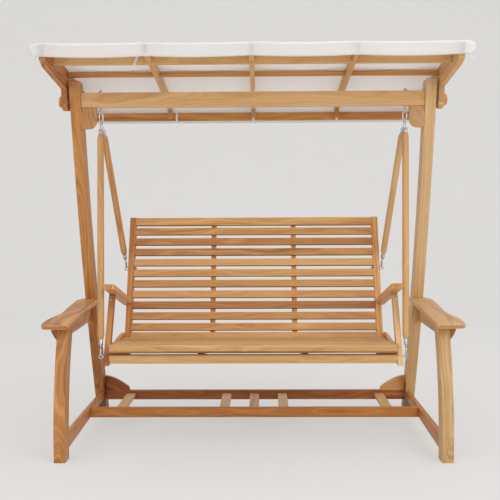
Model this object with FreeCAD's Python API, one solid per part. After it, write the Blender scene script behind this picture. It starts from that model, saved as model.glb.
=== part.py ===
"""Three-seat garden swing bench in teak with a tilting cloth canopy.

Millimetres, +Z up, X along the bench, the front of the bench faces -Y.
The origin lies on the ground at the middle of the whole object's plan.
Depths named SETBACK count backwards from the front face of the front feet.
"""
import FreeCAD
import Part
import math
import os

V = FreeCAD.Vector
SIDES = {"left": -1.0, "right": 1.0}

# Fits and joints
RUNNING_FIT = 0.08
FACE_GAP = 0.3
LINK_PLAY = 0.6
STUB_TENON = 8.0
LONG_TENON = 28.0
TENON_SHOULDER = 6.0
SLAT_HOUSING = 8.0

# Side frames
SIDE_OUTER_X = 925.0
SIDE_WIDTH = 54.0
LEG_DEPTH = 76.0
LEG_BOW_RADIUS = 1465.0
LEG_BOW_HEIGHT = 60.0
POST_DEPTH = 76.0
POST_FOOT_SETBACK = 945.0
POST_TOP_SETBACK = 401.0
POST_TOP_HEIGHT = 1823.0
POST_BOW = 45.0
SIDE_RAIL_THICK = 25.0
SIDE_RAIL_INSET = 25.0
RAIL_BOTTOM = 63.0
RAIL_HEIGHT = 53.0
SIDE_RAIL_FRONT_DROP = 21.0
SIDE_RAIL_REAR_RISE = 15.0

# Arms of the side frames
ARM_FRONT_SETBACK = 20.0
ARM_FRONT_TOP = 642.0
ARM_SLOPE = 0.0618
ARM_THICK = 22.0
ARM_INNER_OVERHANG = 19.0
ARM_FRONT_WIDTH = 132.0
ARM_WAIST_WIDTH = 110.0
ARM_REAR_WIDTH = 115.0
ARM_WAIST_SETBACK = 400.0
ARM_CORNER = 30.0
ARM_POST_HOUSING = 10.0
APRON_THICK = 20.0
APRON_BOTTOM = 557.0
APRON_HAUNCH = 46.0
CORBEL_REACH = 38.0
CORBEL_BOTTOM = 547.0
CORBEL_THICK = 38.0
CORBEL_SETBACK = 118.0
CORBEL_KNEE_OUT = 0.75
CORBEL_KNEE_UP = 0.4

# Base
CROSS_RAIL_THICK = 25.0
FRONT_CROSS_SETBACK = 550.0
REAR_CROSS_SETBACK = 935.0
GUSSET_LENGTH = 140.0
GUSSET_RISE = 86.0
GUSSET_SHOULDER = 0.07
GUSSET_KNEE_OUT = 0.85
GUSSET_KNEE_UP = 0.37
GUSSET_BOW = 0.05
BASE_BOARD_WIDTH = 53.0
BASE_BOARD_THICK = 20.0
BASE_BOARD_DROP = 16.0
BASE_BOARD_HOUSING = 6.0
BASE_BOARD_OUTER_X = 722.0
BASE_BOARD_INNER_X = 161.0

# Top beam
BEAM_THICK = 45.0
BEAM_SETBACK = 435.0
BEAM_BOTTOM = 1693.0
BEAM_HEIGHT = 74.0
BLOCK_LENGTH = 73.0
BLOCK_HEIGHT = 108.0
BLOCK_CORNER = 42.0
BLOCK_SIDE_STEP = 2.0

# Hanging hardware
HOOK_X = 774.0
BOLT_RADIUS = 5.0
NUT_HEIGHT = 8.0
NUT_ACROSS = 17.0
WASHER_RADIUS = 11.0
WASHER_THICK = 2.0
BOLT_END = 5.0
EYE_RADIUS = 12.0
EYE_WIRE = 3.5
EYE_NECK = 9.0
LINK_WIRE = 3.0
LINK_HALF_WIDTH = 9.5
LINK_LENGTH = 46.0
BAR_EYE_RADIUS = 10.0
BAR_EYE_WIRE = 2.5
BAR_EYE_OFFSET = 3.1
BAR_NECK = 38.0
FERRULE_RADIUS = 10.5
FERRULE_LENGTH = 29.0
BAR_RADIUS = 16.5
BAR_TAPER = 22.0
SNAP_WIRE = 2.5
SNAP_HALF_WIDTH = 10.0
SNAP_LENGTH = 42.0
SNAP_NECK = 9.0
SEAT_EYE_RADIUS = 9.0
SEAT_EYE_WIRE = 3.0
SEAT_EYE_NECK = 4.0
FRONT_EYE_NECK = 8.0
EYE_SCREW_COVER = 8.0
SEAT_BOLT_RADIUS = 4.0
SEAT_NUT_ACROSS = 13.0
SEAT_NUT_HEIGHT = 7.0
SEAT_WASHER_RADIUS = 9.0

# Seat
SEAT_OUTER_X = 712.0
SEAT_RAIL_THICK = 20.0
SEAT_FRONT_SETBACK = 108.0
SEAT_FRONT_TOP = 536.0
SEAT_REAR_TOP = 497.0
SEAT_DIP = 9.0
SEAT_DEPTH = 440.0
SEAT_SLAT_COUNT = 6
SEAT_SLAT_GAP = 12.0
SEAT_SLAT_THICK = 27.0
SEAT_NOSE_WIDTH = 27.0
SEAT_NOSE_HEIGHT = 40.0
SEAT_RAIL_RISE = 2.0
SEAT_TAIL_RISE = 18.0
SEAT_HUMP_SETBACK = 264.0
SEAT_HUMP_BOW = 3.0
SEAT_RAIL_BOTTOM = 432.0
SEAT_RAIL_REAR_LENGTH = 30.0
SEAT_RAIL_TAPER = 18.0
FRONT_RAIL_THICK = 26.0
FRONT_RAIL_BOTTOM = 440.0
FRONT_RAIL_HEIGHT = 46.0
FRONT_RAIL_STEP = 18.0
REAR_RAIL_THICK = 26.0
REAR_RAIL_HEIGHT = 44.0
BEARER_X = 250.0
BEARER_WIDTH = 30.0
BEARER_BOTTOM = 446.0
CORNER_BLOCK_LENGTH = 95.0
CORNER_BLOCK_DEPTH = 22.0
SEAT_EYE_SETBACK = 40.0
SEAT_EYE_HEIGHT = 470.0

# Back
BACK_RECLINE = 20.0
BACK_FOOT_GAP = 12.0
BACK_FOOT_HEIGHT = 520.0
BACK_LENGTH = 646.0
STILE_WIDTH = 32.0
STILE_DEPTH = 45.0
STILE_FOOT_LENGTH = 62.0
BACK_SLAT_COUNT = 11
BACK_SLAT_GAP = 18.4
BACK_FIRST_RISE = 10.0
BACK_FOOT_SLAT_TOP = 2.0
BACK_FOOT_SLAT_WIDTH = 32.0
BACK_SLAT_THICK = 18.0
BACK_SLAT_STEP = 2.0
BATTEN_X = 220.0
BATTEN_WIDTH = 27.0
BATTEN_DEPTH = 24.0
BACK_EYE_RISE = 361.0

# Seat arms
SEAT_ARM_WIDTH = 56.0
SEAT_ARM_THICK = 25.0
SEAT_ARM_FRONT_SETBACK = 24.0
SEAT_ARM_FRONT_TOP = 822.0
SEAT_ARM_SLOPE = 0.27
SEAT_ARM_TAIL = 26.0
SEAT_ARM_CORNER = 18.0
SUPPORT_WIDTH = 26.0
SUPPORT_DEPTH = 44.0
SUPPORT_FOOT_SETBACK = 52.0
SUPPORT_LEAN = 28.5

# Canopy
PIVOT_SETBACK = 451.0
PIVOT_HEIGHT = 1722.0
PIVOT_DEPTH_IN_POST = 24.0
PIVOT_FLANGE_RADIUS = 11.0
PIVOT_FLANGE_THICK = 2.0
RIB_GAP = 11.0
END_RIB_THICK = 28.0
CANOPY_FRONT_SETBACK = 22.0
CANOPY_FRONT_TOP = 1926.0
CANOPY_REAR_TOP = 1798.0
CANOPY_REAR_SETBACK = 1022.0
CANOPY_ARCH = 12.0
CANOPY_REAR_ROUND = 60.0
END_RIB_FRONT_DEPTH = 72.0
END_RIB_TIP_LENGTH = 52.0
END_RIB_DEPTH = 92.0
END_RIB_REAR_DEPTH = 108.0
TONGUE_RADIUS = 46.0
RIB_WIDTH = 24.0
RIB_DEPTH = 50.0
RIB_X = 481.0
RIB_HEEL = 36.0
RIB_HEEL_BOTTOM = 1697.0
RAIL_DEEP = 24.0
CANOPY_FRONT_RAIL_SETBACK = 157.0
CANOPY_FRONT_RAIL_BOTTOM = 1855.0
CANOPY_MID_RAIL_SETBACK = 425.0
CANOPY_MID_RAIL_BOTTOM = 1843.0
CANOPY_MID_RAIL_HEIGHT = 26.0
CANOPY_REAR_RAIL_BOTTOM = 1686.0
CANOPY_REAR_RAIL_HEIGHT = 46.0
KNOB_RADIUS = 29.0
KNOB_THICK = 20.0
KNOB_EDGE = 4.0
KNOB_CAP = 4.0

# Canopy cloth and ties
CLOTH_THICK = 2.5
CLOTH_OVERHANG = 46.0
CLOTH_FRONT_DROP = 66.0
CLOTH_REAR_BOTTOM = 1674.0
CLOTH_CORNER_WIDTH = 25.0
CLOTH_CORNER_HEIGHT = 39.0
TIE_WIDTH = 12.0
TIE_THICK = 2.0
FRONT_TIE_X = -566.0

# Values that follow from the sizes above
SIDE_INNER_X = SIDE_OUTER_X - SIDE_WIDTH
END_RIB_INNER_X = SIDE_OUTER_X + RIB_GAP
END_RIB_OUTER_X = END_RIB_INNER_X + END_RIB_THICK
CLOTH_X = END_RIB_OUTER_X + CLOTH_OVERHANG
SEAT_INNER_X = SEAT_OUTER_X - SUPPORT_WIDTH
STILE_INNER_X = SEAT_INNER_X - STILE_WIDTH
SIDE_RAIL_OUTER_X = SIDE_OUTER_X - SIDE_RAIL_INSET
SIDE_RAIL_INNER_X = SIDE_RAIL_OUTER_X - SIDE_RAIL_THICK
RAIL_TOP = RAIL_BOTTOM + RAIL_HEIGHT
BEAM_TOP = BEAM_BOTTOM + BEAM_HEIGHT
HOOK_SETBACK = BEAM_SETBACK + 0.5 * BEAM_THICK
BACK_FOOT_SETBACK = SEAT_DEPTH + BACK_FOOT_GAP
CLOTH_REAR_SETBACK = CANOPY_REAR_SETBACK + FACE_GAP + CLOTH_THICK
FAR = 3000.0

# Heights of the hanging hardware, from the beam downwards
EYE_CENTRE_Z = BEAM_BOTTOM - EYE_NECK - EYE_RADIUS
HINGE_Z = EYE_CENTRE_Z - EYE_RADIUS + EYE_WIRE + LINK_WIRE + FACE_GAP
LINK_FOOT_Z = HINGE_Z - LINK_LENGTH


def box(x0, x1, s0, s1, z0, z1):
    """Box between two X values, two setbacks and two heights."""
    low_x = min(x0, x1)
    return Part.makeBox(abs(x1 - x0), s1 - s0, z1 - z0, V(low_x, s0 + Y_SHIFT, z0))


def edges_of(start, segments, place):
    """Edges of a path: a segment is (end,) for a line or (middle, end) for an arc."""
    edges = []
    here = start
    for segment in segments:
        end = segment[-1]
        if len(segment) == 2:
            edges.append(Part.Arc(place(here), place(segment[0]), place(end)).toShape())
        else:
            edges.append(Part.LineSegment(place(here), place(end)).toShape())
        here = end
    return edges


def side_prism(start, segments, x0, x1):
    """Closed outline of (setback, height) points, swept along X."""
    low_x = min(x0, x1)
    edges = edges_of(start, segments, lambda p: V(low_x, p[0] + Y_SHIFT, p[1]))
    return Part.Face(Part.Wire(edges)).extrude(V(abs(x1 - x0), 0, 0))


def front_prism(start, segments, s0, s1):
    """Closed outline of (x, height) points, swept backwards."""
    edges = edges_of(start, segments, lambda p: V(p[0], s0 + Y_SHIFT, p[1]))
    return Part.Face(Part.Wire(edges)).extrude(V(0, s1 - s0, 0))


def plan_prism(start, segments, z0, z1):
    """Closed outline of (x, setback) points, swept upwards."""
    edges = edges_of(start, segments, lambda p: V(p[0], p[1] + Y_SHIFT, z0))
    return Part.Face(Part.Wire(edges)).extrude(V(0, 0, z1 - z0))


def polygon(points):
    """Line segments that close a polygon back to its first point."""
    return [(point,) for point in points[1:]] + [(points[0],)]


def point_at(x, setback, z):
    """A point in the model's frame from its setback."""
    return V(x, setback + Y_SHIFT, z)


def rod(a, b, radius):
    """Round rod between two points."""
    return Part.makeCylinder(radius, (b - a).Length, a, b - a)


def mirrored(shape):
    """The same shape on the other side of the bench."""
    return shape.mirror(V(0, 0, 0), V(1, 0, 0))


def on_side(shape, side):
    """A shape drawn on the right, placed on the given side."""
    return shape if SIDES[side] > 0 else mirrored(shape)


def both(shape):
    """A shape drawn on the right together with its mirror image."""
    return [shape, mirrored(shape)]


def bow_between(p, q, rise):
    """Middle point of an arc from p to q that stands off the chord by rise, on its left."""
    dx = q[0] - p[0]
    dz = q[1] - p[1]
    length = math.hypot(dx, dz)
    return (0.5 * (p[0] + q[0]) - dz / length * rise, 0.5 * (p[1] + q[1]) + dx / length * rise)


# Bowed legs and posts

class Bow:
    """A timber bent to an arc: two concentric circles seen from the side."""

    def __init__(self, centre, radius, depth):
        self.centre = centre
        self.radius = radius
        self.depth = depth

    def front(self, z):
        """Setback of the front face at a height."""
        return self.centre[0] - math.sqrt(self.radius ** 2 - (z - self.centre[1]) ** 2)

    def back(self, z):
        """Setback of the back face at a height."""
        inner = self.radius - self.depth
        return self.centre[0] - math.sqrt(inner ** 2 - (z - self.centre[1]) ** 2)

    def solid(self, z0, z1, x0, x1):
        """The timber between two heights and two X values."""
        mid = 0.5 * (z0 + z1)
        return side_prism(
            (self.front(z0), z0),
            [((self.front(mid), mid), (self.front(z1), z1)), ((self.back(z1), z1),),
             ((self.back(mid), mid), (self.back(z0), z0)), ((self.front(z0), z0),)], x0, x1)


def post_bow():
    """Arc of the rear post through its foot and its top, bowed forwards."""
    foot = (POST_FOOT_SETBACK, 0.0)
    top = (POST_TOP_SETBACK, POST_TOP_HEIGHT)
    chord = math.hypot(top[0] - foot[0], top[1] - foot[1])
    radius = chord ** 2 / (8.0 * POST_BOW) + 0.5 * POST_BOW
    centre = bow_between(foot, top, -(radius - POST_BOW))
    return Bow(centre, radius, POST_DEPTH)


LEG = Bow((LEG_BOW_RADIUS, LEG_BOW_HEIGHT), LEG_BOW_RADIUS, LEG_DEPTH)
POST = post_bow()
Y_SHIFT = -0.5 * max(POST.back(0.0), CLOTH_REAR_SETBACK)


# Frame arms

def arm_underside(setback):
    """Height of the arm's underside at a setback."""
    return ARM_FRONT_TOP - ARM_THICK + ARM_SLOPE * (setback - ARM_FRONT_SETBACK)


def below_arm():
    """Everything under the plane of the arm's underside."""
    reach = SIDE_OUTER_X + ARM_FRONT_WIDTH
    front = ARM_FRONT_SETBACK - FAR
    back = ARM_FRONT_SETBACK + FAR
    points = [(front, -FAR), (back, -FAR), (back, arm_underside(back)), (front, arm_underside(front))]
    return side_prism(points[0], polygon(points), -reach, reach)


def arm_slab():
    """The sloping layer that the arm board is cut from."""
    reach = SIDE_OUTER_X + ARM_FRONT_WIDTH
    front = ARM_FRONT_SETBACK - ARM_THICK
    back = POST_FOOT_SETBACK
    points = [(front, arm_underside(front)), (back, arm_underside(back)),
              (back, arm_underside(back) + ARM_THICK), (front, arm_underside(front) + ARM_THICK)]
    return side_prism(points[0], polygon(points), 0.0, reach)


def arm_plan():
    """Plan of the right arm: wide at the front, drawn in at the waist, rounded at the post."""
    inner = SIDE_INNER_X - ARM_INNER_OVERHANG
    front = ARM_FRONT_SETBACK
    waist = ARM_WAIST_SETBACK
    rear = POST.front(arm_underside(POST_TOP_SETBACK)) + ARM_POST_HOUSING
    front_x = inner + ARM_FRONT_WIDTH
    waist_x = inner + ARM_WAIST_WIDTH
    rear_x = inner + ARM_REAR_WIDTH
    corner = ARM_CORNER
    arc = corner * (1.0 - math.sqrt(0.5))
    half = 0.5 * (front + corner + waist)
    half_x = 0.5 * (front_x + waist_x)
    tail = rear - 2.0 * corner
    return [
        ((front_x - corner, front),),
        ((front_x - arc, front + arc), (front_x, front + corner)),
        (bow_between((front_x, front + corner), (half_x, half), -arc), (half_x, half)),
        (bow_between((half_x, half), (waist_x, waist), arc), (waist_x, waist)),
        ((rear_x, 0.5 * (waist + tail)), (rear_x, tail)),
        ((rear_x - arc, rear - corner - arc), (rear_x - corner, rear),),
        ((inner, rear),),
        ((inner, front),),
    ]


def frame_arm(post):
    """Right arm board, let round the front of the post."""
    inner = SIDE_INNER_X - ARM_INNER_OVERHANG
    plan = plan_prism((inner, ARM_FRONT_SETBACK), arm_plan(), 0.0, POST_TOP_HEIGHT)
    return plan.common(arm_slab()).cut(post)


def arm_apron(leg, post):
    """Right rail under the arm, with rounded haunches at the leg and the post."""
    bottom = APRON_BOTTOM
    haunch = APRON_HAUNCH
    low = bottom - haunch
    arc = haunch * (1.0 - math.sqrt(0.5))
    leg_back = LEG.back(low)
    front = leg_back - TENON_SHOULDER
    post_front = POST.front(low)
    back = post_front + TENON_SHOULDER
    top = arm_underside(back) + ARM_THICK
    segments = [
        ((leg_back, low),),
        ((leg_back + arc, bottom - arc), (leg_back + haunch, bottom)),
        ((post_front - haunch, bottom),),
        ((post_front - arc, bottom - arc), (post_front, low)),
        ((back, low),), ((back, top),), ((front, top),), ((front, low),),
    ]
    board = side_prism((front, low), segments, SIDE_OUTER_X - APRON_THICK, SIDE_OUTER_X)
    return board.common(below_arm()).cut(leg).cut(post)


def arm_corbel():
    """Right bracket outside the leg, rounded below, that carries the arm's outer edge."""
    top = arm_underside(CORBEL_SETBACK) + ARM_THICK
    knee_z = CORBEL_BOTTOM + CORBEL_KNEE_UP * (top - CORBEL_BOTTOM)
    knee = (SIDE_OUTER_X + CORBEL_KNEE_OUT * CORBEL_REACH, knee_z)
    outline = [((SIDE_OUTER_X, top),), ((SIDE_OUTER_X + CORBEL_REACH, top),),
               (knee, (SIDE_OUTER_X, CORBEL_BOTTOM))]
    back = CORBEL_SETBACK + CORBEL_THICK
    block = front_prism((SIDE_OUTER_X, CORBEL_BOTTOM), outline, CORBEL_SETBACK, back)
    return block.common(below_arm())


# Base

def side_rail_tenons():
    """Tenons of the right side rail, in the leg and in the post."""
    z0 = RAIL_BOTTOM + SIDE_RAIL_REAR_RISE + TENON_SHOULDER
    z1 = RAIL_TOP - TENON_SHOULDER
    x0 = SIDE_RAIL_INNER_X + TENON_SHOULDER
    x1 = SIDE_RAIL_OUTER_X - TENON_SHOULDER
    leg_face = LEG.back(z1)
    post_face = POST.front(z0)
    front = box(x0, x1, leg_face - LONG_TENON, leg_face + LONG_TENON, z0, z1)
    back = box(x0, x1, post_face - LONG_TENON, post_face + LONG_TENON, z0, z1)
    return front, back


def side_rail(leg, post, tenons):
    """Right bottom rail from the leg to the post, deeper in front, with its two tenons."""
    start = LEG.front(RAIL_TOP) + 0.5 * LEG_DEPTH
    end = POST.front(RAIL_BOTTOM) + 0.5 * POST_DEPTH
    front_low = RAIL_BOTTOM - SIDE_RAIL_FRONT_DROP
    points = [(start, front_low), (end, RAIL_BOTTOM + SIDE_RAIL_REAR_RISE), (end, RAIL_TOP),
              (start, RAIL_TOP)]
    rail = side_prism(points[0], polygon(points), SIDE_RAIL_INNER_X, SIDE_RAIL_OUTER_X)
    return rail.cut(leg).cut(post).fuse(list(tenons)).removeSplitter()


def cross_rail(half, tenon, setback, z0, z1, thick):
    """Rail along X with a shouldered tenon at both ends."""
    body = box(-half, half, setback, setback + thick, z0, z1)
    tongue = box(-half - tenon, half + tenon, setback + TENON_SHOULDER,
                 setback + thick - TENON_SHOULDER, z0 + TENON_SHOULDER, z1 - TENON_SHOULDER)
    return body.fuse(tongue).removeSplitter()


def rear_gusset():
    """Right gusset on the rear cross rail, against the post."""
    x0 = SIDE_INNER_X
    x1 = SIDE_INNER_X - GUSSET_LENGTH
    z0 = RAIL_TOP
    z1 = RAIL_TOP + GUSSET_RISE
    shoulder = (x0 - GUSSET_SHOULDER * GUSSET_LENGTH, z1)
    knee = (x0 - GUSSET_KNEE_OUT * GUSSET_LENGTH, z0 + GUSSET_KNEE_UP * GUSSET_RISE)
    bow = -GUSSET_BOW * GUSSET_LENGTH
    crown = bow_between(shoulder, knee, bow)
    nose = bow_between(knee, (x1, z0), bow)
    outline = [((x0, z1),), (shoulder,), (crown, knee), (nose, (x1, z0)), ((x0, z0),)]
    return front_prism((x0, z0), outline, REAR_CROSS_SETBACK, REAR_CROSS_SETBACK + CROSS_RAIL_THICK)


def base_boards():
    """Five short boards between the cross rails, let into both."""
    places = [-BASE_BOARD_OUTER_X, -BASE_BOARD_INNER_X, 0.0, BASE_BOARD_INNER_X, BASE_BOARD_OUTER_X]
    start = FRONT_CROSS_SETBACK + CROSS_RAIL_THICK - BASE_BOARD_HOUSING
    end = REAR_CROSS_SETBACK + BASE_BOARD_HOUSING
    half = 0.5 * BASE_BOARD_WIDTH
    top = RAIL_TOP - BASE_BOARD_DROP
    return [box(x - half, x + half, start, end, top - BASE_BOARD_THICK, top) for x in places]


# Beam and its hardware

def beam_block():
    """Right block under the beam's end, its lower inner corner rounded."""
    x0 = SIDE_INNER_X
    x1 = SIDE_INNER_X - BLOCK_LENGTH
    z1 = BEAM_BOTTOM
    z0 = BEAM_BOTTOM - BLOCK_HEIGHT
    r = BLOCK_CORNER
    arc = r * (1.0 - math.sqrt(0.5))
    outline = [((x0, z0),), ((x1 + r, z0),), ((x1 + arc, z0 + arc), (x1, z0 + r)), ((x1, z1),), ((x0, z1),)]
    front = BEAM_SETBACK + BLOCK_SIDE_STEP
    return front_prism((x0, z1), outline, front, BEAM_SETBACK + BEAM_THICK - BLOCK_SIDE_STEP)


def hex_nut(base, direction, across, height, bore):
    """Hexagon nut with its bore, standing on a base point along a direction."""
    corner = across / math.sqrt(3.0)
    points = [V(corner * math.cos(math.radians(60 * k)), corner * math.sin(math.radians(60 * k)), 0)
              for k in range(6)]
    prism = Part.Face(Part.makePolygon(points + [points[0]])).extrude(V(0, 0, height))
    nut = prism.cut(Part.makeCylinder(bore, height))
    nut.Placement = FreeCAD.Placement(base, FreeCAD.Rotation(V(0, 0, 1), direction))
    return nut


def washer(base, direction, radius, bore):
    """Flat washer standing on a base point along a direction."""
    disc = Part.makeCylinder(radius, WASHER_THICK, base, direction)
    return disc.cut(Part.makeCylinder(bore, WASHER_THICK, base, direction))


def hanger_shank(x):
    """Shank of an eye bolt that runs up through the beam."""
    low = point_at(x, HOOK_SETBACK, EYE_CENTRE_Z + EYE_RADIUS)
    high = point_at(x, HOOK_SETBACK, BEAM_TOP + WASHER_THICK + NUT_HEIGHT + BOLT_END)
    return rod(low, high, BOLT_RADIUS)


def hanger_eye_bolt(x):
    """Eye bolt under the beam: ring across X, shank and a collar against the beam."""
    ring = Part.makeTorus(EYE_RADIUS, EYE_WIRE, point_at(x, HOOK_SETBACK, EYE_CENTRE_Z), V(1, 0, 0))
    base = point_at(x, HOOK_SETBACK, BEAM_BOTTOM - WASHER_THICK)
    collar = Part.makeCylinder(WASHER_RADIUS, WASHER_THICK, base, V(0, 0, 1))
    return ring.fuse([hanger_shank(x), collar]).removeSplitter()


def hanger_nuts(x):
    """Washer and nut on top of the beam."""
    base = point_at(x, HOOK_SETBACK, BEAM_TOP)
    seat = point_at(x, HOOK_SETBACK, BEAM_TOP + WASHER_THICK)
    return [washer(base, V(0, 0, 1), WASHER_RADIUS, BOLT_RADIUS),
            hex_nut(seat, V(0, 0, 1), NUT_ACROSS, NUT_HEIGHT, BOLT_RADIUS)]


def oval_link(top, down, across, length, half_width, wire):
    """Oval ring of round wire: top is the wire's centre at one end, down points to the other."""
    straight = length - 2.0 * half_width
    upper = top + down * half_width
    lower = upper + down * straight
    left = across * (-half_width)
    right = across * half_width
    path = Part.Wire([
        Part.Arc(upper + left, top, upper + right).toShape(),
        Part.LineSegment(upper + right, lower + right).toShape(),
        Part.Arc(lower + right, lower + down * half_width, lower + left).toShape(),
        Part.LineSegment(lower + left, upper + left).toShape(),
    ])
    circle = Part.Wire(Part.Circle(upper + left, down, wire).toShape())
    return path.makePipeShell([circle], True, True)


def hanger_link():
    """Right oval link that hangs in the eye bolt and carries the two bars."""
    top = point_at(HOOK_X, HOOK_SETBACK, HINGE_Z)
    return oval_link(top, V(0, 0, -1), V(1, 0, 0), LINK_LENGTH, LINK_HALF_WIDTH, LINK_WIRE)


# Seat and back outlines

def seat_arc():
    """Circle of the seat's top line, seen from the side: centre and radius."""
    front = (SEAT_FRONT_SETBACK, SEAT_FRONT_TOP)
    back = (SEAT_FRONT_SETBACK + SEAT_DEPTH, SEAT_REAR_TOP)
    chord = math.hypot(back[0] - front[0], back[1] - front[1])
    radius = chord ** 2 / (8.0 * SEAT_DIP) + 0.5 * SEAT_DIP
    centre = bow_between(front, back, radius - SEAT_DIP)
    return centre, radius


SEAT_CENTRE, SEAT_RADIUS = seat_arc()


def seat_top(setback, drop=0.0):
    """Height of the seat's top line at a setback, less a drop square to it."""
    radius = SEAT_RADIUS + drop
    return SEAT_CENTRE[1] - math.sqrt(radius ** 2 - (setback - SEAT_CENTRE[0]) ** 2)


def seat_line(drop, start, end):
    """Points at the start, middle and end of the seat's top line less a drop."""
    mid = 0.5 * (start + end)
    return [(s, seat_top(s, drop)) for s in (start, mid, end)]


def seat_slats():
    """Slats across the seat along its arc: a narrow nosing, then slats let into both side rails."""
    start = math.atan2(SEAT_FRONT_SETBACK - SEAT_CENTRE[0], SEAT_CENTRE[1] - SEAT_FRONT_TOP)
    end = math.atan2(SEAT_FRONT_SETBACK + SEAT_DEPTH - SEAT_CENTRE[0], SEAT_CENTRE[1] - SEAT_REAR_TOP)
    run = SEAT_RADIUS * (end - start)
    behind = SEAT_SLAT_COUNT - 1
    shared = (run - SEAT_NOSE_WIDTH) / behind - SEAT_SLAT_GAP
    sizes = [(SEAT_NOSE_WIDTH, SEAT_NOSE_HEIGHT, SEAT_INNER_X)]
    sizes += [(shared, SEAT_SLAT_THICK, SEAT_INNER_X + SLAT_HOUSING)] * behind
    slats = []
    edge = 0.0
    for width, thick, half in sizes:
        angle = start + (edge + 0.5 * width) / SEAT_RADIUS
        edge += width + SEAT_SLAT_GAP
        along = (math.cos(angle), math.sin(angle))
        inwards = (math.sin(angle), -math.cos(angle))
        top = (SEAT_CENTRE[0] + SEAT_RADIUS * inwards[0], SEAT_CENTRE[1] + SEAT_RADIUS * inwards[1])
        points = []
        for step, depth in ((-0.5, 0.0), (0.5, 0.0), (0.5, 1.0), (-0.5, 1.0)):
            points.append((top[0] + along[0] * width * step + inwards[0] * thick * depth,
                           top[1] + along[1] * width * step + inwards[1] * thick * depth))
        slats.append(side_prism(points[0], polygon(points), -half, half))
    return slats


BACK_SIN = math.sin(math.radians(BACK_RECLINE))
BACK_COS = math.cos(math.radians(BACK_RECLINE))


def back_point(up, behind):
    """Point on the back: distance up the front face from its foot, and square behind it."""
    setback = SEAT_FRONT_SETBACK + BACK_FOOT_SETBACK + up * BACK_SIN + behind * BACK_COS
    return (setback, BACK_FOOT_HEIGHT + up * BACK_COS - behind * BACK_SIN)


def back_board(up0, up1, behind0, behind1, x0, x1):
    """Board in the plane of the back."""
    points = [back_point(up0, behind0), back_point(up0, behind1), back_point(up1, behind1),
              back_point(up1, behind0)]
    return side_prism(points[0], polygon(points), x0, x1)


def back_foot():
    """Distance up the back of its lowest slat's lower edge."""
    return BACK_FOOT_SLAT_TOP - BACK_FOOT_SLAT_WIDTH


def back_slats():
    """Slats of the back, let into both stiles: a narrow one at the foot, then an even row."""
    run = BACK_LENGTH - BACK_FIRST_RISE + BACK_SLAT_GAP
    pitch = run / BACK_SLAT_COUNT
    bands = [(back_foot(), BACK_FOOT_SLAT_TOP)]
    for index in range(BACK_SLAT_COUNT):
        low = BACK_FIRST_RISE + index * pitch
        bands.append((low, low + pitch - BACK_SLAT_GAP))
    half = STILE_INNER_X + SLAT_HOUSING
    behind = BACK_SLAT_STEP + BACK_SLAT_THICK
    return [back_board(low, high, BACK_SLAT_STEP, behind, -half, half) for low, high in bands]


def back_stile():
    """Right stile of the back; its foot stands between the seat's side rails."""
    return back_board(-STILE_FOOT_LENGTH, BACK_LENGTH, 0.0, STILE_DEPTH, STILE_INNER_X, SEAT_INNER_X)


def back_batten():
    """Right batten behind the back's slats."""
    behind = BACK_SLAT_STEP + BACK_SLAT_THICK
    x0 = BATTEN_X - 0.5 * BATTEN_WIDTH
    return back_board(back_foot(), BACK_LENGTH, behind, behind + BATTEN_DEPTH, x0, x0 + BATTEN_WIDTH)


def seat_side_rail(prop):
    """Right side rail of the seat, from the prop back to a raised, rounded tail outside the stile."""
    start = SEAT_FRONT_SETBACK
    stile_back = back_point(-STILE_FOOT_LENGTH, STILE_DEPTH)[0]
    end = stile_back + SEAT_RAIL_REAR_LENGTH
    top = seat_line(-SEAT_RAIL_RISE, start, start + SEAT_HUMP_SETBACK)
    hump = (start + SEAT_DEPTH, SEAT_REAR_TOP + SEAT_TAIL_RISE)
    low = SEAT_RAIL_BOTTOM
    tail_low = low + SEAT_RAIL_TAPER
    tail_mid = 0.5 * (hump[1] + tail_low)
    outline = [(top[0],), (top[1], top[2]), (bow_between(top[2], hump, SEAT_HUMP_BOW), hump),
               ((stile_back, hump[1]),), ((end, tail_mid), (stile_back, tail_low)),
               ((start + 0.5 * SEAT_DEPTH, low),), ((start, low),)]
    board = side_prism((start, low), outline, SEAT_INNER_X, SEAT_INNER_X + SEAT_RAIL_THICK)
    return max(board.cut(prop).Solids, key=lambda solid: solid.Volume)


def seat_bearer():
    """Right bearer under the slats, from the front rail to the rear rail."""
    start = SEAT_FRONT_SETBACK + FRONT_RAIL_STEP + FRONT_RAIL_THICK
    end = seat_rear_rail_setback()
    top = seat_line(0.5 * SEAT_SLAT_THICK, start, end)
    low = BEARER_BOTTOM
    rear_low = top[2][1] - REAR_RAIL_HEIGHT
    half = 0.5 * BEARER_WIDTH
    outline = [(top[0],), (top[1], top[2]), ((end, rear_low),), ((start + 0.5 * (end - start), low),),
               ((start, low),)]
    return side_prism((start, low), outline, BEARER_X - half, BEARER_X + half)


def seat_rear_rail_setback():
    """Setback of the rear rail's front face, just before the stiles' feet."""
    return SEAT_FRONT_SETBACK + SEAT_DEPTH - REAR_RAIL_THICK


def seat_rear_rail():
    """Rail along the back of the seat, under its last slat."""
    setback = seat_rear_rail_setback()
    top = seat_top(setback, 0.5 * SEAT_SLAT_THICK)
    return cross_rail(SEAT_INNER_X, SLAT_HOUSING, setback, top - REAR_RAIL_HEIGHT, top, REAR_RAIL_THICK)


def seat_front_rail(prop):
    """Rail along the front of the seat, below the first slat, with tenons in both props."""
    setback = SEAT_FRONT_SETBACK + FRONT_RAIL_STEP
    top = FRONT_RAIL_BOTTOM + FRONT_RAIL_HEIGHT
    rail = cross_rail(SEAT_INNER_X, SLAT_HOUSING, setback, FRONT_RAIL_BOTTOM, top, FRONT_RAIL_THICK)
    ends = box(SEAT_INNER_X, SEAT_OUTER_X, setback, setback + FRONT_RAIL_THICK, FRONT_RAIL_BOTTOM, top)
    return rail.cut(both(ends.cut(prop)))


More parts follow.
